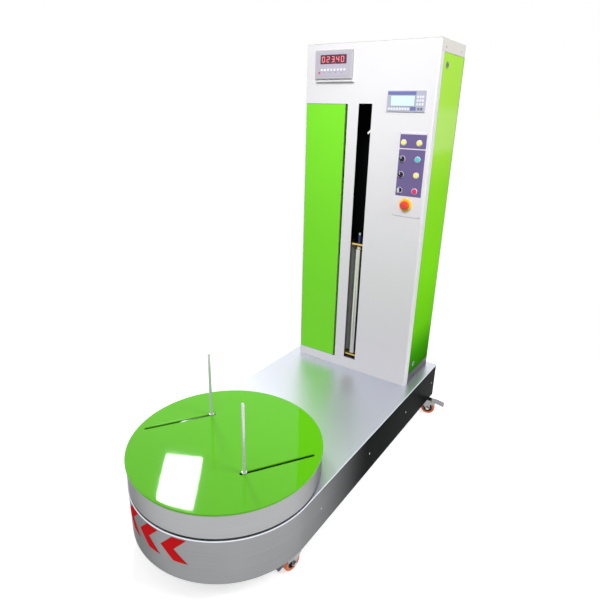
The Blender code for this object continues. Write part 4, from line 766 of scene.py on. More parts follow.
# --------------------------------------------------------------- operators
class WRAPPER_OT_stage(bpy.types.Operator):
    """Floor, light all round, lamps and camera"""
    bl_idname = "wrapper.stage"
    bl_label = "Stage"

    def execute(self, context):
        stage = context.scene.wrapper_stage
        context.scene.view_settings.view_transform = "Standard"
        self.add_world(context, stage)
        self.add_floor(context, stage)
        for name, place, aim, size, spread, watts in (
                ("front_lamp", (0.25, -1.0, 2.6), (0.0, 0.505, 1.6), (0.9, 0.6), 105, stage.front_lamp),
                ("fill_lamp", (0.55, -2.5, 3.0), (0.0, 0.5, 1.75), (1.7, 1.0), 180, stage.fill_lamp),
                ("side_lamp", (3.0, 0.4, 2.9), (0.35, 0.65, 1.5), (1.4, 1.2), 180, stage.side_lamp)):
            lamp = self.add_lamp(context, name, size, watts)
            lamp.data.spread = math.radians(spread)
            lamp.location = place
            lamp.rotation_euler = (Vector(aim) - Vector(place)).to_track_quat("-Z", "Y").to_euler()
            lamp.visible_glossy = False
        self.add_window(context, stage)
        self.add_camera(context, stage)
        return {"FINISHED"}

    def add_lamp(self, context, name, size, watts):
        """Rectangular lamp that the camera doesn't see."""
        light = bpy.data.lights.new(name, "AREA")
        light.shape = "RECTANGLE"
        light.size, light.size_y = size
        light.energy = watts
        lamp = bpy.data.objects.new(name, light)
        lamp.visible_camera = False
        context.scene.collection.objects.link(lamp)
        return lamp

    def add_window(self, context, stage):
        """Small bright lamp on the left, which the glossy table mirrors."""
        place, size = (-1.746, 0.7235, 2.338), (0.34, 0.50)
        across, upward = Vector((0.544, 0.39, 0.081)).normalized(), Vector((-0.32, 0.319, -0.215))
        away = across.cross(upward).normalized()
        axes = Matrix((across, away.cross(across), away)).transposed()
        window = self.add_lamp(context, "window_lamp", size, stage.window_lamp)
        window.matrix_world = Matrix.Translation(place) @ axes.to_4x4()

    def seen_directly(self, tree):
        """1 for camera, mirror and glass rays, 0 for light that falls on things."""
        path = node(tree, "ShaderNodeLightPath", (-900, 0))
        value = path.outputs["Is Camera Ray"]
        for label in ("Is Glossy Ray", "Is Transmission Ray"):
            value = math_node(tree, "MAXIMUM", (-650, 0), value, path.outputs[label])
        return value

    def add_world(self, context, stage):
        """White where it is seen, and the ambient level where it lights things."""
        world = bpy.data.worlds.new("studio")
        world.use_nodes = True
        tree = world.node_tree
        background = find_node(tree, "BACKGROUND")
        background.inputs["Color"].default_value = (1, 1, 1, 1)
        level = node(tree, "ShaderNodeMapRange", (-300, 0))
        level.inputs["To Min"].default_value = stage.ambient
        level.inputs["To Max"].default_value = 1.0
        tree.links.new(self.seen_directly(tree), level.inputs["Value"])
        tree.links.new(level.outputs[0], background.inputs["Strength"])
        context.scene.world = world

    def add_floor(self, context, stage):
        """Pale disc that keeps the shadow near the machine and fades to white around it."""
        reach, fade_start, fade_end = 40.0, 1.1, 2.6
        shape = bmesh.new()
        bmesh.ops.create_circle(shape, cap_ends=True, radius=reach, segments=64)
        mesh = bpy.data.meshes.new("floor")
        shape.to_mesh(mesh)
        shape.free()
        material, tree, shader = start_material("floor", 0, 0.1, 0)
        coords = node(tree, "ShaderNodeTexCoord", (-900, 300))
        radius = node(tree, "ShaderNodeVectorMath", (-700, 300), operation="LENGTH")
        tree.links.new(coords.outputs["Object"], radius.inputs[0])
        fade = node(tree, "ShaderNodeMapRange", (-500, 300), interpolation_type="SMOOTHSTEP")
        fade.inputs["From Min"].default_value = fade_start
        fade.inputs["From Max"].default_value = fade_end
        tree.links.new(radius.outputs["Value"], fade.inputs["Value"])
        mottle = add_noise(tree, 9.0, 4.0, (-900, -200))
        tone = swing(tree, mottle, stage.floor_tone, 0.02, (-650, -200))
        kept = math_node(tree, "MULTIPLY_ADD", (-250, 100), fade.outputs[0], -stage.floor_tone, tone)
        tree.links.new(kept, shader.inputs["Base Color"])
        shader.inputs["Roughness"].default_value = 0.8
        lift = node(tree, "ShaderNodeMapRange", (-250, -100))
        lift.inputs["To Min"].default_value = 0.60
        lift.inputs["To Max"].default_value = 1.0
        tree.links.new(fade.outputs[0], lift.inputs["Value"])
        glow = math_node(tree, "MULTIPLY", (0, -100), lift.outputs[0], self.seen_directly(tree))
        tree.links.new(glow, shader.inputs["Emission Color"])
        shader.inputs["Emission Strength"].default_value = 1.0
        mesh.materials.append(material)
        floor = bpy.data.objects.new("floor", mesh)
        floor.location.z = CAD_LOW.z - GAP
        context.scene.collection.objects.link(floor)

    def add_camera(self, context, stage):
        """Camera in front on the right, above the machine's middle."""
        place = Vector((1.1127, -1.6332, 1.598))
        yaw, pitch, roll = 0.593907, 0.364019, 0.0238245        # radians, from a level view along Y
        ahead = Vector((-math.sin(yaw) * math.cos(pitch), math.cos(yaw) * math.cos(pitch),
                        -math.sin(pitch)))
        right = Vector((math.cos(yaw), math.sin(yaw), 0))
        up = right.cross(ahead)
        turned_right = math.cos(roll) * right + math.sin(roll) * up
        turned_up = math.cos(roll) * up - math.sin(roll) * right
        data = bpy.data.cameras.new("camera")
        data.lens = stage.lens
        data.sensor_width = 36          # millimetres
        camera = bpy.data.objects.new("camera", data)
        axes = Matrix((turned_right, turned_up, -ahead)).transposed()
        camera.matrix_world = Matrix.Translation(place) @ axes.to_4x4()
        context.scene.collection.objects.link(camera)
        context.scene.camera = camera


class WRAPPER_OT_base_shell(bpy.types.Operator):
    """Stainless deck and wall of the base, with screws and direction marks"""
    bl_idname = "wrapper.base_shell"
    bl_label = "Base deck and wall"

    def execute(self, context):
        sizes = context.scene.wrapper_sizes
        colours = context.scene.wrapper_colours
        self.add_deck(colours)
        self.add_wall(sizes, colours)
        self.add_marks(sizes, colours)
        height = (WALL_LOW.z + WALL_HIGH.z) / 2
        screw_rows = (-0.36, 0.04, 0.44, 0.80)
        spots = []
        for y in screw_rows:
            for way in (1, -1):
                spot = Matrix.Translation((way * WALL_HIGH.x, y, height))
                spots.append(spot @ Matrix.Rotation(way * math.pi / 2, 4, "Y"))
        screw_heads("wall_screws", spots, "machine", sizes.screw_radius)
        return {"FINISHED"}

    def add_deck(self, colours):
        """Deck sheet with the bearing hole, the shaft hole and a cable hole beside the column."""
        edge, bearing_hole, shaft_hole, cable_hole = 0.0018, 0.0505, 0.0105, 0.005
        drive = centre_of("table_drive_sprocket")
        loops = [nose_loop(0), circle((0, TABLE_Y), bearing_hole, 64), circle((0, drive.y), shaft_hole, 24),
                 circle((0.331, 0.643), cable_hole, 20)]
        shape = plates([loops], DECK_LOW.z, DECK_HIGH.z, edge)
        material = bare("deck_steel", colours.deck_steel, roughness=0.38, brush=(700, 3, 700), tone=0.07,
                        unevenness=0.10, bump=0.03)
        new_piece("base_deck", shape, material, "machine", ("base_top_plate",))

    def add_wall(self, sizes, colours):
        """Wall sheet round the base, folded in at its lower edge."""
        outside = DECK_HIGH.x - WALL_HIGH.x
        inside, flange = outside + SHEET, 0.006
        low = WALL_LOW.z
        shape = bmesh.new()
        for outer, inner, top in ((outside, inside, WALL_HIGH.z), (inside, inside + flange, low + SHEET)):
            add_plate(shape, [nose_loop(outer), nose_loop(inner)], low, top, sizes.sheet_edge)
        new_piece("base_wall", shape, wall_steel(colours), "machine", ("base_skirt",))

    def add_marks(self, sizes, colours):
        """Three red chevrons on the nose that point the way the table turns."""
        radius = WALL_HIGH.x + GAP
        middle, half = 0.2285, sizes.mark_height / 2
        first, pitch, span, arm = -84.7, -17.2, 16.0, 8.3       # degrees round the nose
        rows, columns, film = 10, 5, 0.0002
        shape = bmesh.new()
        for i in range(3):
            tip = first + i * pitch
            for way in (1, -1):
                grid = []
                for row in range(rows + 1):
                    share = row / rows
                    start = tip + share * (span - arm)
                    line = arc((0, TABLE_Y), radius, start, start + arm, columns)
                    height = middle + way * share * half
                    grid.append([shape.verts.new((x, y, height)) for x, y in line])
                for lower, upper in zip(grid, grid[1:]):
                    for column in range(columns):
                        shape.faces.new((lower[column], lower[column + 1],
                                         upper[column + 1], upper[column])[::way])
        bmesh.ops.remove_doubles(shape, verts=shape.verts, dist=0.00001)
        material = coated("mark_red", colours.mark_red, roughness=0.4, specular=0.0, tone=0.1)
        marks = new_piece("direction_marks", shape, material, "machine")
        thicken(marks, film, 1)


class WRAPPER_OT_base_inside(bpy.types.Operator):
    """Frame, bearing, load cell, drive and chain inside the base"""
    bl_idname = "wrapper.base_inside"
    bl_label = "Base frame and table drive"

    def execute(self, context):
        dress("base_frame", machine_grey(), edge=0.0015)
        dress("table_bearing_housing", machine_grey(), edge=0.001)
        dress("table_gearmotor", machine_grey(), edge=0.0015)
        dress("load_cell", bare_steel(), edge=0.001)
        for name in ("table_chain", "table_drive_sprocket", "table_sprocket"):
            dress(name, bare_steel())
        return {"FINISHED"}


class WRAPPER_OT_turntable(bpy.types.Operator):
    """Green table with its slots, the ring under it and the clamp rods"""
    bl_idname = "wrapper.turntable"
    bl_label = "Turntable and clamp rods"

    def execute(self, context):
        sizes = context.scene.wrapper_sizes
        colours = context.scene.wrapper_colours
        half = sizes.slot_width / 2
        loops = [circle((0, TABLE_Y), TABLE_RADIUS, sizes.round_steps)]
        offset, start, rim, angle = 0.197, -0.006, 0.029, 57.5
        end = math.sqrt((TABLE_RADIUS - rim) ** 2 - offset ** 2)
        outline = arc((start + half, 0), half, 90, 270, 8) + arc((end - half, 0), half, 270, 450, 8)
        for turn in (0, 180):
            spin = Matrix.Rotation(math.radians(turn + angle), 4, "Z")
            place = Matrix.Translation((0, TABLE_Y, 0)) @ spin @ Matrix.Translation((0, -offset, 0))
            loops.append([(place @ Vector((x, y, 0)))[:2] for x, y in outline])
        shape = plates([loops], TABLE_LOW.z, TABLE_HIGH.z, sizes.table_edge)
        material = coated("table_green", colours.table_green, roughness=0.045, specular=0.30, tone=0.10,
                          unevenness=0.03, grain=240, bump=0.002)
        new_piece("table_top", shape, material, "turntable", ("turntable_plate",))
        self.add_ring(sizes, colours)
        for side in ("front", "rear"):
            self.add_rod("clamp_rod_" + side)
        return {"FINISHED"}

    def add_ring(self, sizes, colours):
        """Brushed ring under the table's edge, folded in at its lower edge."""
        low, high, radius, _ = upright("turntable_skirt")
        edge, lip, inside = 0.0008, 0.010, low.z + SHEET * 0.8
        profile = [(radius - SHEET, high.z), (radius - edge, high.z), (radius, high.z - edge)]
        profile += arc((radius - SHEET, low.z + SHEET), SHEET, 0, -90, 5)
        profile += [(radius - lip, low.z), (radius - lip, inside), (radius - SHEET, inside)]
        shape = turned(profile, sizes.round_steps, Matrix.Translation((0, TABLE_Y, 0)), ring=True)
        material = bare("ring_steel", colours.ring_steel, roughness=0.30, brush=(5, 5, 800), tone=0.30)
        # Painted reflection: the ring's left is painted darker, in place of the dark it mirrors.
        left = axis_mask(material.node_tree, "X", -0.14, -0.36, (-400, 400))
        two_tone(material, rgba(colours.ring_steel), shade_of(colours.ring_steel, 0.36), left)
        darken_rim(material, 0.4)
        new_piece("table_ring", shape, material, "turntable", ("turntable_skirt",))

    def add_rod(self, name):
        """Threaded rod with a round collar above the slot and a hexagon nut below it."""
        low, high, _, place = upright(name)
        radius, tip, pitch, depth = 0.006, 0.0015, 0.0035, 0.0005
        collar, collar_height, nut, plain_end = 0.0105, 0.004, 0.012, 0.010
        seat = TABLE_HIGH.z + GAP
        bottom = seat + collar_height
        profile = [(0, low.z), (radius, low.z), (radius, bottom)]
        for i in range(int((high.z - plain_end - bottom) / pitch)):
            z = bottom + i * pitch
            profile += [(radius, z + pitch * 0.3), (radius - depth, z + pitch * 0.5),
                        (radius, z + pitch * 0.7)]
        profile += [(radius, high.z - tip), (radius - tip, high.z), (0, high.z)]
        shape = turned(profile, 24, place)
        add_turned(shape, rounded_profile(collar, seat, bottom, 0.001), 40, place)
        add_plate(shape, [circle((0, 0), collar, 6)], low.z, low.z + nut, 0.0006, place)
        silver = bare("rod_silver", (0.66, 0.66, 0.67), roughness=0.25, brush=(300, 300, 8))
        new_piece(name + "_threaded", shape, silver, name, (name,))


class WRAPPER_OT_casters(bpy.types.Operator):
    """Four casters with orange tyres, plated forks and brake pedals"""
    bl_idname = "wrapper.casters"
    bl_label = "Casters"

    def execute(self, context):
        colours = context.scene.wrapper_colours
        tyre = coated("tyre_orange", colours.tyre, roughness=0.42, tone=0.18, unevenness=0.2, grain=350,
                      bump=0.12)
        add_dust(tyre, colours.tyre, 0.35)
        hub = coated("hub_black", (0.03, 0.03, 0.035), roughness=0.45, tone=0.2)
        for corner in ("front_right", "front_left", "rear_right", "rear_left"):
            dress("caster_fork_" + corner, chrome(), edge=0.0006)
            dress("caster_pedal_" + corner, chrome(), edge=0.0006)
            self.add_wheel(corner, tyre, hub)
            self.add_swivel(corner)
        return {"FINISHED"}

    def axle(self, corner):
        """Wheel's centre, with Z along its axle, from the record's roll joint."""
        turn = Vector(joint("caster_roll_" + corner)["axis"]).to_track_quat("Z", "Y")
        return Matrix.Translation(centre_of("caster_wheel_" + corner)) @ turn.to_matrix().to_4x4()

    def add_wheel(self, corner, tyre_material, hub_material):
        """Crowned tyre on a spoked black hub."""
        name = "caster_wheel_" + corner
        low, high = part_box(name)
        radius = (high.z - low.z) / 2
        half, rim, crown, lip = 0.0138, 0.0255, 0.0065, 0.002
        place = self.axle(corner)
        outline = [(rim, -half + lip), (rim + lip, -half)]
        outline += arc((radius - crown, -half + crown), crown, 270, 360, 6)
        outline += arc((radius - crown, half - crown), crown, 0, 90, 6)
        outline += [(rim + lip, half), (rim, half - lip)]
        new_piece(name + "_tyre", turned(outline, 72, place, ring=True), tyre_material, name,
                  (name,))
        bore, boss, web, seat = 0.0056, 0.011, 0.004, half - 0.0015
        side = [(bore, half), (boss, half), (boss + 0.001, web), (rim - 0.004, web), (rim - 0.003, seat),
                (rim - GAP, seat)]
        outline = [(x, -y) for x, y in side] + side[::-1]
        hub = turned(outline, 48, place, ring=True)
        thick = 0.0012
        add_spokes(hub, 6, (boss - 0.001, -thick, -half + 0.003), (rim - 0.002, thick, half - 0.003), 0.0004,
                   place)
        new_piece(name + "_hub", hub, hub_material, name)

    def add_swivel(self, corner):
        """Ball race between the fork and the base, and the hexagon ends of the axle bolt."""
        body = "caster_" + corner
        x, y, _ = joint("caster_swivel_" + corner)["pos_m"]
        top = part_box("caster_fork_" + corner)[1].z
        race = [(0.012, top + GAP), (0.0245, top + GAP), (0.0265, top + 0.002), (0.0265, top + 0.004),
                (0.0235, top + 0.0065), (0.012, top + 0.0065)]
        new_piece("caster_race_" + corner, turned(race, 48, Matrix.Translation((x, y, 0)), ring=True),
                  screw_steel(), body)
        bolt = bmesh.new()
        near, far, radius = 0.0240, 0.0280, 0.0075
        for way in (1, -1):
            low, high = sorted((way * near, way * far))
            add_plate(bolt, [circle((0, 0), radius, 6)], low, high, 0.0006, self.axle(corner))
        new_piece("caster_bolt_" + corner, bolt, screw_steel(), body)


class WRAPPER_OT_column_shell(bpy.types.Operator):
    """White front sheet, top cover, back sheet and green side sheet of the column"""
    bl_idname = "wrapper.column_shell"
    bl_label = "Column sheets"

    def execute(self, context):
        sizes = context.scene.wrapper_sizes
        white = context.scene.wrapper_colours.sheet_white
        # Painted shade: the inner faces of the front and back sheets are painted near black behind their
        # white outer skins.
        front = white_outside("front_white", white, "Y", COLUMN_FACE + 0.0010, COLUMN_FACE + 0.0013)
        self.add_front(front, white)
        cover = coated("cover_white", context.scene.wrapper_colours.cover_white, roughness=0.36,
                       specular=0.35, tone=0.05)
        dress("column_top_cover", cover, edge=0.0009, sheet=True)
        back = white_outside("back_white", white, "Y", COVER_HIGH.y - 0.0006, COVER_HIGH.y - 0.0010)
        dress("column_back_panel", back, edge=0.0005, sheet=True)
        dress("column_left_panel", door_green(), edge=0.0005, sheet=True)
        # Painted shade: the column frame takes a darker grey than the white sheets, and near black at its
        # outer sides, to keep the inside of the column dark.
        tubes = white_outside("frame_grey_and_shade", shade_of(white, 0.42)[:3], "X", FRONT_HIGH.x - 0.0045,
                              FRONT_HIGH.x - 0.0035, True)
        dress("column_frame", tubes, edge=0.0008)
        self.add_screws(sizes)
        return {"FINISHED"}

    def add_front(self, material, white):
        """Front sheet with its openings, rounded corners, returns and the indicator's shelf."""
        left, right = -FRONT_HIGH.x, FRONT_HIGH.x
        low, high = FRONT_LOW.z, FRONT_HIGH.z
        radius, steps = 0.008, 8
        cap = COVER_LOW.z
        slot_half, slot_low, slot_high = 0.034, 0.355, 1.640
        door_low, door_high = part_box("film_door")
        gap_below, gap_above = 0.0008, 0.0015
        foot, head = door_low.z - gap_below, door_high.z + gap_above
        inner = -0.091                      # edge of the notch behind the film door
        trimmed = 11                        # degrees that the notch takes off the left fold
        rim = left + radius
        outline = [(rim, low), (right - radius, low), (right - radius, high), (rim, high), (rim, head),
                   (inner, head), (inner, foot), (rim, foot)]
        loops = [outline, oblong((-slot_half, slot_low), (slot_half, slot_high), 0.002, 3)]
        for name, border in (("scale_indicator", 0.007), ("hmi_terminal", 0.007), ("control_plate", 0.012)):
            (x0, _, z0), (x1, _, z1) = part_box(name)
            loops.append(oblong((x0 + border, z0 + border), (x1 - border, z1 - border), 0.001, 2))
        shape = bmesh.new()
        add_sheet(shape, loops, 0, SHEET, facing_front(0, COLUMN_FACE + SHEET, 0))
        folds = bmesh.new()
        for way in (-1, 1):
            centre = (way * (right - radius), COLUMN_FACE + radius)
            parts = ((low, foot, 0), (foot, head, trimmed), (head, cap - GAP, 0), (cap - GAP, high, 0))
            if way > 0:
                parts = ((low, cap - GAP, 0), (cap - GAP, high, 0))
            for bottom, top, trim in parts:
                start, end = 270 + way * trim, 270 + way * 90
                outside = arc(centre, radius, start, end, steps)
                inside = arc(centre, radius - SHEET, end, start, steps)
                rear = FRONT_HIGH.y
                back = [(way * right, rear), (way * (right - SHEET), rear)] if top < high else []
                add_sheet(folds, [outside + back + inside], bottom, top)
        new_piece("column_front", shape, material, "machine", ("column_front_panel",),
                  angle=30)
        plain = coated("fold_white", white, roughness=0.33, specular=0.35, tone=0.04, grain=900)
        new_piece("column_front_folds", folds, plain, "machine", angle=30)
        self.add_lever()
        self.add_shelf(white)

    def add_lever(self):
        """Thin white lever shape inside the slot, near its right edge, on a small round pivot."""
        behind = COLUMN_FACE + SHEET + 0.0052
        outline = [(0.060, 1.527), (0.060, 1.536), (0.038, 1.536), (0.0165, 1.516), (0.0205, 1.509),
                   (0.041, 1.527)]
        lever = plates([[outline[::-1]]], 0.0012, 0.0042, 0.0004, facing_front(0, behind, 0))
        pivot = facing_front(0.052, behind, 1.5315)
        add_turned(lever, rounded_profile(0.0036, 0.0, 0.0052, 0.0003), 24, pivot)
        ivory = coated("lever_white", (0.88, 0.87, 0.88), roughness=0.35)
        new_piece("slot_lever", lever, ivory, "machine")

    def add_shelf(self, white):
        """Small shelf under the indicator, with its front edge turned up."""
        (x0, _, z0), (x1, _, _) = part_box("scale_indicator")
        start, end, top, thick, lip = x0 + 0.007, x1 + 0.010, z0 - 0.010, 0.0025, 0.0015
        shelf = bmesh.new()
        for back, rise, edge in ((COLUMN_FACE + SHEET / 2, 0, 0.0008), (FRONT_LOW.y + lip, 0.004, 0.0005)):
            add_block(shelf, (start, FRONT_LOW.y, top - thick), (end, back, top + rise), edge)
        new_piece("indicator_shelf", shelf, coated("shelf_white", white, roughness=0.3), "machine")

    def add_screws(self, sizes):
        """Screws along the back sheet, the side sheet and the top cover."""
        quarter = math.pi / 2
        back_first, back_pitch, side_first, side_pitch, cover_rise = 0.335, 0.372, 0.37, 0.361, 0.018
        back = [((x, COVER_HIGH.y, back_first + i * back_pitch), -quarter, "X")
                for x in (-0.31, 0, 0.31) for i in range(5) if x or i in (0, 4)]
        side = [((-FRONT_HIGH.x, y, side_first + i * side_pitch), -quarter, "Y")
                for y in (0.56, 0.79) for i in range(5)]
        cover = [((way * FRONT_HIGH.x, y, COVER_LOW.z + cover_rise), way * quarter, "Y")
                 for way in (-1, 1) for y in (0.56, 0.76)]
        for name, spots in (("back_screws", back), ("side_screws", side), ("cover_screws", cover)):
            places = [Matrix.Translation(spot) @ Matrix.Rotation(turn, 4, axis) for spot, turn, axis in spots]
            screw_heads(name, places, "machine", sizes.screw_radius)


class WRAPPER_OT_doors(bpy.types.Operator):
    """Film door and side door with their folded edges and cam locks"""
    bl_idname = "wrapper.doors"
    bl_label = "Doors and locks"

    def execute(self, context):
        radius = context.scene.wrapper_sizes.fold_radius
        self.add_pan("film_door", Vector((0, 1, 0)), door_green(), radius)
        self.add_pan("side_door", Vector((-1, 0, 0)), side_green(), radius)
        for end in ("upper", "lower"):
            self.add_lock(end)
        return {"FINISHED"}

    def add_pan(self, name, open_side, material, radius):
        """Sheet pan folded at its four edges and open on its inner side."""
        low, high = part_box(name)
        sheet = 0.0015
        shape = bmesh.new()
        add_block(shape, low, high, radius, 4)
        bmesh.ops.recalc_face_normals(shape, faces=shape.faces)
        axis = 1 if open_side.y else 0
        limit = high[axis] if open_side[axis] > 0 else low[axis]
        inner = [f for f in shape.faces if all(abs(v.co[axis] - limit) < radius * 0.99 for v in f.verts)]
        bmesh.ops.delete(shape, geom=inner, context="FACES")
        loose = [v for v in shape.verts if not v.link_faces]
        bmesh.ops.delete(shape, geom=loose, context="VERTS")
        for vertex in shape.verts:
            if abs(vertex.co[axis] - limit) < radius * 1.01:
                vertex.co[axis] = limit
        door = new_piece(name + "_pan", shape, material, name, (name,))
        thicken(door, sheet, -1)

    def add_lock(self, end):
        """Cam lock: domed head, key disc with its slot, barrel and cam."""
        name = "side_door_lock_" + end
        _, y, z = joint(name + "_turn")["pos_m"]
        low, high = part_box(name)
        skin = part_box("side_door")[1].x
        place = Matrix.Translation((skin, y, z)) @ FACING_RIGHT
        rim, barrel, key = 0.013, 0.011, 0.0075
        rise, depth = high.x - skin, low.x - skin
        floor = rise - 0.0012               # bottom of the key disc's recess
        body = turned([(0, depth), (barrel, depth), (barrel, GAP), (rim, GAP), (rim, rise - 0.0015),
                       (rim - 0.0006, rise - 0.0005), (rim - 0.0015, rise), (key + 0.0008, rise),
                       (key + 0.0002, floor), (0, floor)], 48, place)
        cam_half, cam_thick = 0.007, 0.0035
        add_block(body, (low.x, y - cam_half, low.z), (low.x + cam_thick, y + cam_half, high.z), 0.0005)
        new_piece(name + "_body", body, chrome(), name, (name,))
        disc = turned(rounded_profile(key, floor, rise - 0.0002, 0.0004), 36, place)
        add_block(disc, (-0.0008, -0.0045, rise - 0.0006), (0.0008, 0.0045, rise), 0.0002, 2, place)
        new_piece(name + "_key", disc, black_plastic(), name)


class WRAPPER_OT_carriage(bpy.types.Operator):
    """Film carriage, its rollers, the film roll, the guide rods and the lift drive"""
    bl_idname = "wrapper.carriage"
    bl_label = "Film carriage and lift"

    def execute(self, context):
        colours = context.scene.wrapper_colours
        zinc = bare("yellow_zinc", colours.zinc, roughness=0.30, brush=(40, 40, 40), tone=0.25, bump=0.03)
        # Painted shade: the plates are painted darker deeper inside the column, where shade falls.
        painted_shade_inward = axis_mask(zinc.node_tree, "Y", COLUMN_FACE + 0.028, COLUMN_FACE + 0.050, (-400, 400))
        two_tone(zinc, rgba(colours.zinc), shade_of(colours.zinc, 0.22), painted_shade_inward)
        dress("carriage_frame", zinc, edge=0.0008)
        self.add_exit_roller()
        rubber = coated("roller_rubber", (0.22, 0.22, 0.215), roughness=0.55, tone=0.15, grain=1500,
                        bump=0.15)
        for side in ("front", "rear"):
            self.add_roller("stretch_roller_" + side, rubber, "roller_rubber")
        self.add_film()
        for side in ("front", "rear"):
            name = "guide_rod_" + side
            low, high, radius, place = upright(name)
            new_piece(name + "_ground", turned(rounded_profile(radius, low.z, high.z, 0.001, 3), 48, place),
                      chrome(), "machine", (name,))
        for name in ("lift_chain", "lift_sprocket_lower", "lift_sprocket_upper"):
            dress(name, bare_steel())
        dress("lift_gearmotor", machine_grey(), edge=0.0012)
        self.add_fins()
        self.add_control_box()
        return {"FINISHED"}

    def add_exit_roller(self):
        """Smooth roller in the slot, with its pale cap, blue nut and steel tip."""
        low, high, radius, place = upright("exit_roller")
        foot, top, shoulder, summit = low.z + 0.0102, 0.960, 0.974, 1.030
        pin, cap, edge, tip = 0.0094, 0.012, 0.0015, 0.0075
        sleeve = [(0, low.z), (pin, low.z), (pin, foot), (radius - edge, foot), (radius, foot + edge),
                  (radius, top - edge), (radius - edge, top), (0, top)]
        crown = [(0, top), (cap, top), (cap, shoulder - edge), (cap - edge, shoulder), (0, shoulder)]
        nut = [(0, shoulder), (pin, shoulder), (pin, summit), (0, summit)]
        dome = [(0, summit), (tip, summit)] + arc((0, 1.0365), 0.0085, 0, 90, 6)[:-1] + [(0, high.z)]
        metal = bare("roller_metal", (0.66, 0.65, 0.60), roughness=0.33, brush=(6, 6, 300), tone=0.12)
        ivory = coated("cap_ivory", (0.83, 0.76, 0.56), roughness=0.35, tone=0.1)
        navy = coated("nut_blue", (0.02, 0.025, 0.12), roughness=0.3, tone=0.2)
        for part, profile, steps, material, slot, hides in (
                ("sleeve", sleeve, 64, metal, "roller_metal", ("exit_roller",)),
                ("cap", crown, 40, ivory, "beige_paint", ()),
                ("nut", nut, 32, navy, "black_plastic", ()),
                ("tip", dome, 32, screw_steel(), "chrome", ())):
            new_piece("exit_roller_" + part, turned(profile, steps, place), material, "exit_roller",
                      hides)

    def add_roller(self, name, material, slot):
        """Roller on two pins."""
        low, high, radius, place = upright(name)
        plate, pin, edge = 0.0102, 0.0058, 0.002
        bottom, top = low.z + plate, high.z - plate
        profile = [(0, low.z), (pin, low.z), (pin, bottom), (radius - edge, bottom), (radius, bottom + edge),
                   (radius, top - edge), (radius - edge, top), (pin, top), (pin, high.z), (0, high.z)]
        new_piece(name + "_sleeve", turned(profile, 56, place), material, name, (name,))

    def add_film(self):
        """Roll of clear film on a cardboard tube."""
        low, high, radius, place = upright("film_roll")
        tube_low, tube_high, tube_radius, _ = upright("film_core")
        edge, tube_wall = 0.001, 0.006
        bore, hollow = tube_radius + GAP, tube_radius - tube_wall
        layers = [(bore, low.z), (radius - edge, low.z), (radius, low.z + edge), (radius, high.z - edge),
                  (radius - edge, high.z), (bore, high.z)]
        film = coated("film_layers", (0.62, 0.65, 0.66), roughness=0.18, coat=0.4, tone=0.12, grain=900,
                      bump=0.1)
        new_piece("film_roll_layers", turned(layers, 96, place, ring=True), film, "film_supply",
                  ("film_roll",))
        tube = [(tube_radius, tube_low.z), (tube_radius, tube_high.z), (hollow, tube_high.z),
                (hollow, tube_low.z)]
        card = coated("cardboard", (0.36, 0.25, 0.14), roughness=0.8, specular=0.2, tone=0.3, grain=600,
                      bump=0.3)
        new_piece("film_core_tube", turned(tube, 64, place, ring=True), card, "film_supply",
                  ("film_core",))

    def add_fins(self):
        """Cooling fins round the lift motor's barrel."""
        low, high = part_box("lift_gearmotor")
        radius, rise, thick = 0.0425, 0.0035, 0.0009
        gearbox_half, offset = 0.110 / 2, 0.009
        place = Matrix.Translation((low.x + gearbox_half + offset, high.y - radius, 0))
        bottom, top = high.z - 0.165, high.z - 0.045
        shape = bmesh.new()
        add_spokes(shape, 22, (radius - 0.001, -thick, bottom), (radius + rise, thick, top), 0.0004, place)
        new_piece("lift_motor_fins", shape, machine_grey(), "machine")

    def add_control_box(self):
        """Cabinet with its door, two latches and cable glands."""
        low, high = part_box("control_box")
        dress("control_box", machine_grey(), edge=0.002)
        margin, rise = 0.008, 0.0012
        along = Matrix(((0, 0, 1, 0), (1, 0, 0, 0), (0, 1, 0, 0), (0, 0, 0, 1)))    # outline in Y and Z
        outline = oblong((low.y + margin, low.z + margin), (high.y - margin, high.z - margin), 0.004)
        door = plates([[outline]], 0, rise, 0.0005, Matrix.Translation((high.x, 0, 0)) @ along)
        pale = coated("cabinet_door", (0.40, 0.42, 0.42), roughness=0.4)
        new_piece("control_box_door", door, pale, "machine")
        latches = bmesh.new()
        for share in (0.2, 0.8):
            spot = Matrix.Translation((high.x + rise, high.y - 0.030, low.z + share * (high.z - low.z)))
            profile = [(0, 0), (0.006, 0), (0.006, 0.0007), (0.0052, 0.0011), (0, 0.0011)]
            add_turned(latches, profile, 28, spot @ FACING_RIGHT)
        new_piece("control_box_latches", latches, black_plastic(), "machine")
        glands = bmesh.new()
        first, pitch, drop = low.y + 0.045, 0.045, 0.016
        profile = [(0, 0), (0.010, 0), (0.010, -0.006), (0.0075, -0.007), (0.0075, -drop), (0, -drop)]
        for i in range(4):
            spot = Matrix.Translation(((low.x + high.x) / 2, first + i * pitch, low.z))
            add_turned(glands, profile, 6, spot)
        new_piece("control_box_glands", glands, black_plastic(), "machine")


def instrument(name, piece_name, edge, segments, border, material):
    """Housing on the column's face with its body behind; gives its front's place, width and height."""
    low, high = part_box(name)
    back = COLUMN_FACE - GAP
    housing = bmesh.new()
    add_block(housing, low, (high.x, back, high.z), edge, segments)
    add_block(housing, (low.x + border, back - 0.002, low.z + border),
              (high.x - border, high.y, high.z - border), 0.001)
    new_piece(piece_name, housing, material, "machine", (name,))
    return Matrix.Translation(low) @ FACING_FRONT, high.x - low.x, high.z - low.z


def pads(spots, size, radius, low, high, edge, place):
    """New shape of equal round-cornered keys with their lower left corners at the spots."""
    wide, tall = size
    return plates([[oblong((x, y), (x + wide, y + tall), radius)] for x, y in spots], low, high, edge, place)


def key_dark():
    """Dark plastic of the instruments' small keys."""
    return coated("key_dark", (0.16, 0.18, 0.24), roughness=0.4)


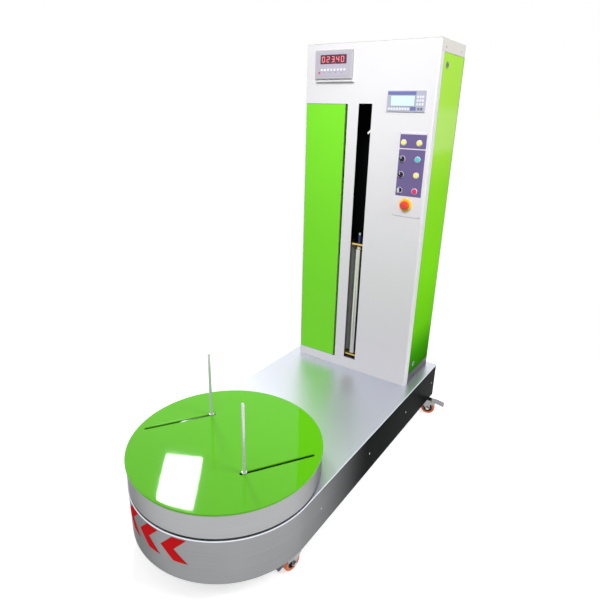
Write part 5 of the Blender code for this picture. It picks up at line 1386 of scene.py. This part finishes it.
class WRAPPER_OT_indicator(bpy.types.Operator):
    """Weighing indicator with its red figures and a row of keys"""
    bl_idname = "wrapper.indicator"
    bl_label = "Weighing indicator"
    figures = "023.40"
    face, glass = 0.0007, 0.0012        # fronts of the face and of the window on the housing

    def execute(self, context):
        grey = coated("instrument_grey", context.scene.wrapper_colours.instrument_grey, roughness=0.42,
                      tone=0.06, grain=1400, bump=0.15)
        panel, width, height = instrument("scale_indicator", "indicator_housing", 0.0032, 4, 0.0085, grey)
        inset = 0.011
        outline = oblong((inset, inset), (width - inset, height - inset), 0.004)
        face = plates([[outline]], 0, self.face, 0.0003, panel)
        film = coated("indicator_face", (0.50, 0.47, 0.57), roughness=0.25, tone=0.08)
        new_piece("indicator_face", face, film, "machine")
        left, right, bottom, top = 0.030, width - 0.030, 0.063, height - 0.020
        window = plates([[oblong((left, bottom), (right, top), 0.002)]], self.face, self.glass, 0.0002, panel)
        smoke = coated("indicator_window", (0.085, 0.018, 0.045), roughness=0.08, specular=0.6, tone=0.2)
        new_piece("indicator_window", window, smoke, "machine")
        self.add_figures(panel, left, right, bottom, top)
        self.add_keys(panel, width)
        return {"FINISHED"}

    def add_figures(self, panel, left, right, bottom, top):
        """Seven-segment figures."""
        lit_bars = {"0": "abcdef", "1": "bc", "2": "abged", "3": "abgcd", "4": "fgbc", "5": "afgcd",
                    "6": "afgedc", "7": "abc", "8": "abcdefg", "9": "abcdfg"}
        step = (right - left - 0.012) / len(self.figures.replace(".", ""))
        wide, tall, bar = step * 0.58, (top - bottom) * 0.62, 0.0020
        base, half = bottom + (top - bottom - tall) / 2, tall / 2
        bars = {"a": (bar, tall - bar, wide - bar, tall), "b": (wide - bar, half, wide, tall - bar / 2),
                "c": (wide - bar, bar / 2, wide, half - bar / 4), "d": (bar, 0, wide - bar, bar),
                "e": (0, bar / 2, bar, half - bar / 4), "f": (0, half, bar, tall - bar / 2),
                "g": (bar, half - bar / 2, wide - bar, half + bar / 2),
                ".": (-step * 0.28, -bar, -step * 0.28 + bar, 0)}
        shape = bmesh.new()
        x = left + 0.009
        for character in self.figures:
            for key in lit_bars.get(character, character):
                x0, y0, x1, y1 = bars[key]
                add_block(shape, (x + x0, base + y0, self.glass), (x + x1, base + y1, 0.0016), place=panel)
            if character in lit_bars:
                x += step
        new_piece("indicator_figures", shape, lit("figures_red", (1.0, 0.20, 0.22), strength=1.1), "machine")

    def add_keys(self, panel, width):
        """Eight small keys, four dots under them and a red power key."""
        count, sides, key_left, key_foot, key_tall = 8, 0.060, 0.033, 0.034, 0.009
        dot_left, dot_height, dot_radius = 0.052, 0.0265, 0.0022
        pitch = (width - sides) / count
        key_spots = [(key_left + i * pitch, key_foot) for i in range(count)]
        keys = pads(key_spots, (pitch * 0.62, key_tall), 0.003, self.face, 0.0020, 0.0004, panel)
        dot_spots = [(dot_left + i * 2 * pitch * 0.9, dot_height) for i in range(4)]
        dots = plates([[circle(spot, dot_radius, 16)] for spot in dot_spots], self.face, 0.0013, 0.0002,
                      panel)
        power_spot, power_radius = (0.026, 0.027), 0.0055
        power = plates([[circle(power_spot, power_radius, 28)]], self.face, 0.0018, 0.0004, panel)
        white = coated("key_white", (0.86, 0.86, 0.90), roughness=0.4, tone=0.05)
        new_piece("indicator_keys", keys, white, "machine")
        new_piece("indicator_dots", dots, key_dark(), "machine")
        red = coated("key_red", (0.62, 0.10, 0.16), roughness=0.4)
        new_piece("indicator_power_key", power, red, "machine")


class WRAPPER_OT_terminal(bpy.types.Operator):
    """Operator terminal with its display and keys"""
    bl_idname = "wrapper.terminal"
    bl_label = "Operator terminal"

    def execute(self, context):
        shell = coated("terminal_grey", (0.46, 0.47, 0.57), roughness=0.4, tone=0.06, grain=1400, bump=0.12)
        panel, width, height = instrument("hmi_terminal", "terminal_housing", 0.0016, 3, 0.0075, shell)
        band = oblong((0.004, height - 0.0175), (width - 0.042, height - 0.004), 0.0015)
        patch = oblong((0.110, 0.006), (0.136, 0.021), 0.0015)
        blue = coated("terminal_blue", (0.16, 0.17, 0.42), roughness=0.3, tone=0.08)
        new_piece("terminal_band", plates([[band], [patch]], 0, 0.0006, 0.0002, panel), blue, "machine")
        x0, y0, x1, y1 = 0.0185, 0.0245, 0.128, 0.0655
        rim, bezel = 0.002, 0.0008
        border = oblong((x0 - rim, y0 - rim), (x1 + rim, y1 + rim), 0.002)
        new_piece("terminal_display_frame", plates([[border]], 0, bezel, 0.0003, panel),
                  coated("display_frame", (0.26, 0.28, 0.40)), "machine")
        glass = plates([[oblong((x0, y0), (x1, y1), 0.0015)]], bezel, 0.0012, 0.0001, panel)
        cyan = lit("display_cyan", (0.66, 0.84, 0.83), strength=0.06, roughness=0.12)
        new_piece("terminal_display", glass, cyan, "machine")
        self.add_keys(panel)
        return {"FINISHED"}

    def add_keys(self, panel):
        """Row of eight keys, block of nine beside the display and two dark keys under it."""
        rise, edge, corner = 0.0012, 0.0004, 0.002
        row_left, row_pitch, row_foot, row_key = 0.007, 0.0128, 0.007, (0.0098, 0.0095)
        keys = pads([(row_left + i * row_pitch, row_foot) for i in range(8)], row_key, corner, 0, rise, edge,
                    panel)
        block_left, block_foot, across, up, (wide, tall) = 0.137, 0.026, 0.0115, 0.0145, (0.009, 0.0105)
        for row in range(3):
            for column in range(3):
                x, y = block_left + column * across, block_foot + row * up
                add_plate(keys, [oblong((x, y), (x + wide, y + tall), corner)], 0, rise, edge, panel)
        pale = coated("terminal_keys", (0.80, 0.79, 0.88), roughness=0.38, tone=0.06)
        new_piece("terminal_keys", keys, pale, "machine")
        enter_left, enter_foot, enter_pitch, enter_key = 0.143, 0.008, 0.013, (0.010, 0.010)
        enter = pads([(enter_left + i * enter_pitch, enter_foot) for i in range(2)], enter_key, corner, 0,
                     rise, edge, panel)
        new_piece("terminal_enter_keys", enter, key_dark(), "machine")


def on_plate(x, z):
    """Place on the back face of the control plate, facing out."""
    return facing_front(x, CONTROL_HIGH.y, z)


def reach(name):
    """How far a control's front and back stand before the control plate's back face."""
    low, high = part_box(name)
    return CONTROL_HIGH.y - low.y, CONTROL_HIGH.y - high.y


def print_white():
    """White print round the knobs and on their pointers."""
    return coated("print_white", (0.85, 0.83, 0.90), roughness=0.4)


class WRAPPER_OT_controls(bpy.types.Operator):
    """Control plate with its buttons, knobs, selector and emergency stop"""
    bl_idname = "wrapper.controls"
    bl_label = "Control plate"

    def execute(self, context):
        colours = context.scene.wrapper_colours
        lenses = {
            "button_yellow_left": ("amber", colours.amber, "yellow_plastic"),
            "button_yellow_right": ("amber", colours.amber, "yellow_plastic"),
            "button_yellow_lower": ("amber", colours.amber, "yellow_plastic"),
            "button_green": ("turquoise", colours.turquoise, "green_plastic"),
            "button_red": ("ruby", colours.ruby, "red_plastic"),
        }
        self.add_base(colours, [centre_of(name) for name in lenses])
        rings = bmesh.new()
        for name, (label, base, slot) in lenses.items():
            self.add_button(name, lit("lens_" + label, base, strength=0.12, roughness=0.22), slot)
            self.add_ring(rings, centre_of(name))
        pale = coated("ring_pale", (0.80, 0.76, 0.84), roughness=0.3, tone=0.05)
        new_piece("button_rings", rings, pale, "machine")
        marks = bmesh.new()
        for name, ticks in (("knob_upper", 11), ("knob_lower", 11), ("selector_switch", 5)):
            self.add_knob(name, name == "selector_switch")
            self.add_scale(marks, name, ticks)
        new_piece("knob_scales", marks, print_white(), "machine")
        self.add_stop(colours)
        return {"FINISHED"}

    def add_base(self, colours, centres):
        """Coated plate, the printed film on it in two fields, and four screws."""
        low, high = CONTROL_LOW, CONTROL_HIGH
        place = on_plate(0, 0)
        corner, plate_hole, film_hole, screw = 0.003, 0.0112, 0.0113, 0.0024
        holes = [circle((centre.x, centre.z), plate_hole, 32) for centre in centres]
        shape = plates([[oblong((low.x, low.z), (high.x, high.z), corner)] + holes], 0, PLATE_FACE, 0.0005,
                       place)
        lilac = coated("plate_lilac", colours.plate_lilac, roughness=0.32, tone=0.05, grain=900)
        new_piece("control_plate_sheet", shape, lilac, "machine", ("control_plate",))
        left, right = low.x + 0.006, high.x - 0.006
        bottom, top, split, half_gap = high.z - 0.274, high.z - 0.008, high.z - 0.069, 0.0022
        fields = []
        for z0, z1 in ((bottom, split - half_gap), (split + half_gap, top)):
            holes = [circle((centre.x, centre.z), film_hole, 32) for centre in centres if z0 < centre.z < z1]
            fields.append([oblong((left, z0), (right, z1), corner)] + holes)
        purple = coated("film_purple", colours.film_purple, roughness=0.30, tone=0.16, grain=1200, bump=0.1)
        new_piece("control_film", plates(fields, PLATE_FACE, FILM_FACE, 0.0001, place), purple, "machine")
        inset = 0.0035
        spots = [facing_front(x, low.y, z) for x in (low.x + inset, high.x - inset)
                 for z in (low.z + inset, high.z - inset)]
        screw_heads("control_plate_screws", spots, "machine", screw)

    def add_button(self, name, material, slot):
        """Domed lens on its plunger."""
        centre = centre_of(name)
        front, back = reach(name)
        radius, plunger, flange, seat = 0.0108, 0.006, 0.0125, -0.0023
        profile = [(0, back), (plunger, back), (plunger, seat), (flange, seat), (flange, -GAP),
                   (radius, -GAP), (radius, front - 0.0022), (radius - 0.0006, front - 0.0011),
                   (radius - 0.0018, front - 0.0004), (radius * 0.45, front), (0, front)]
        new_piece(name + "_lens", turned(profile, 48, on_plate(centre.x, centre.z)), material, name,
                  (name,))

    def add_ring(self, shape, centre):
        """Raised ring on the plate round a push button."""
        inner, outer, edge = 0.0113, 0.0136, 0.001
        base, top = FILM_FACE, FILM_FACE + 0.0030
        profile = [(inner, base), (outer, base), (outer, top - edge), (outer - edge, top), (inner, top)]
        add_turned(shape, profile, 48, on_plate(centre.x, centre.z), ring=True)

    def add_knob(self, name, selector):
        """Fluted knob with a white line, or a selector with a silver lever."""
        x, _, z = joint(name + "_turn")["pos_m"]
        place = on_plate(x, z)
        front, back = reach(name)
        base = PLATE_FACE + 0.0006
        top = base + 0.0048 if selector else front - 0.0016
        radius, shaft = 0.0105, 0.003
        profile = [(0, back), (shaft, back), (shaft, base), (radius, base), (radius, base + 0.002),
                   (radius - 0.0008, base + 0.003), (radius - 0.0015, top - 0.0012), (radius - 0.003, top),
                   (0, top)]
        cap = turned(profile, 48, place)
        line = bmesh.new()
        if selector:
            add_block(line, (-0.0033, -0.0102, top), (0.0033, 0.0102, front), 0.0012, 3, place)
            material, slot = bare("lever_silver", (0.72, 0.72, 0.74), roughness=0.3), "chrome"
        else:
            inner, outer, half = radius - 0.0022, radius - 0.0006, 0.0007
            add_spokes(cap, 14, (inner, -half, base + 0.003), (outer, half, top - 0.0015), 0.0003, place)
            add_block(line, (-0.0011, 0.0004, top), (0.0011, radius - 0.0030, front), 0.0003, 2, place)
            material, slot = print_white(), "plate_white"
        new_piece(name + "_cap", cap, black_plastic(), name, (name,))
        new_piece(name + "_pointer", line, material, name)

    def add_scale(self, shape, name, count):
        """Printed ring and ticks round a knob."""
        x, _, z = joint(name + "_turn")["pos_m"]
        place = on_plate(x, z)
        base, top, inner, outer, sweep = FILM_FACE, FILM_FACE + 0.0003, 0.0114, 0.0130, 270
        ring = [(inner, base), (outer, base), (outer, top), (inner, top)]
        add_turned(shape, ring, 48, place, ring=True)
        for i in range(count):
            turn = Matrix.Rotation(math.radians(-sweep / 2 + sweep * i / (count - 1)), 4, "Z")
            add_block(shape, (-0.0005, 0.0138, base), (0.0005, 0.0166, top), place=place @ turn)

    def add_stop(self, colours):
        """Yellow collar and red mushroom head."""
        low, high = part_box("estop_collar")
        centre = centre_of("estop_collar")
        place = on_plate(centre.x, centre.z)
        radius = (high.x - low.x) / 2
        face, base = reach("estop_collar")
        neck = 0.0112
        collar = [(neck, base), (radius, base), (radius, face - 0.0035), (radius - 0.0008, face - 0.0016),
                  (radius - 0.003, face - 0.0004), (radius - 0.006, face), (neck + 0.010, face),
                  (neck + 0.008, face - 0.0008), (neck, face - 0.0008)]
        yellow = coated("stop_yellow", colours.stop_yellow, roughness=0.32, tone=0.08, grain=900)
        new_piece("estop_collar_ring", turned(collar, 72, place, ring=True), yellow, "machine",
                  ("estop_collar",))
        front, back = reach("estop_mushroom")
        stem, crown, waist = 0.0104, 0.020, front - 0.016
        head = [(0, back), (stem, back), (stem, waist), (crown - 0.0012, waist),
                (crown - 0.0003, waist + 0.0012), (crown, waist + 0.005), (crown - 0.0006, waist + 0.0085),
                (crown - 0.0022, waist + 0.0115), (crown - 0.0055, waist + 0.0138),
                (crown - 0.011, waist + 0.0153), (0, front)]
        red = coated("stop_red", colours.stop_red, roughness=0.25, tone=0.08, grain=700)
        new_piece("estop_head", turned(head, 72, place), red, "estop_mushroom",
                  ("estop_mushroom",))


PIECE_OPERATORS = (
    WRAPPER_OT_stage, WRAPPER_OT_base_shell, WRAPPER_OT_base_inside, WRAPPER_OT_turntable,
    WRAPPER_OT_casters, WRAPPER_OT_column_shell, WRAPPER_OT_doors, WRAPPER_OT_carriage,
    WRAPPER_OT_indicator, WRAPPER_OT_terminal, WRAPPER_OT_controls,
)


class WRAPPER_PT_sidebar(bpy.types.Panel):
    """Lists the settings and the pieces"""
    bl_idname = "WRAPPER_PT_sidebar"
    bl_label = "Wrapping machine"
    bl_space_type = "VIEW_3D"
    bl_region_type = "UI"
    bl_category = "Wrapper"

    def draw(self, context):
        column = self.layout.column()
        for settings in (context.scene.wrapper_sizes, context.scene.wrapper_colours,
                         context.scene.wrapper_stage):
            for name in settings.__annotations__:
                column.prop(settings, name)
        for operator in PIECE_OPERATORS:
            column.operator(operator.bl_idname)


SETTINGS = (("wrapper_colours", WrapperColours), ("wrapper_sizes", WrapperSizes),
            ("wrapper_stage", WrapperStage))


def register():
    """Add the settings, the operators and the panel."""
    for _, group in SETTINGS:
        bpy.utils.register_class(group)
    for operator in PIECE_OPERATORS:
        bpy.utils.register_class(operator)
    bpy.utils.register_class(WRAPPER_PT_sidebar)
    for name, group in SETTINGS:
        setattr(bpy.types.Scene, name, PointerProperty(type=group))


def unregister():
    """Take away what register added."""
    for name, _ in SETTINGS:
        delattr(bpy.types.Scene, name)
    bpy.utils.unregister_class(WRAPPER_PT_sidebar)
    for operator in reversed(PIECE_OPERATORS):
        bpy.utils.unregister_class(operator)
    for _, group in reversed(SETTINGS):
        bpy.utils.unregister_class(group)


def main():
    """Finish the whole machine."""
    register()
    for operator in PIECE_OPERATORS:
        group, name = operator.bl_idname.split(".")
        getattr(getattr(bpy.ops, group), name)()


if __name__ == "__main__":
    main()
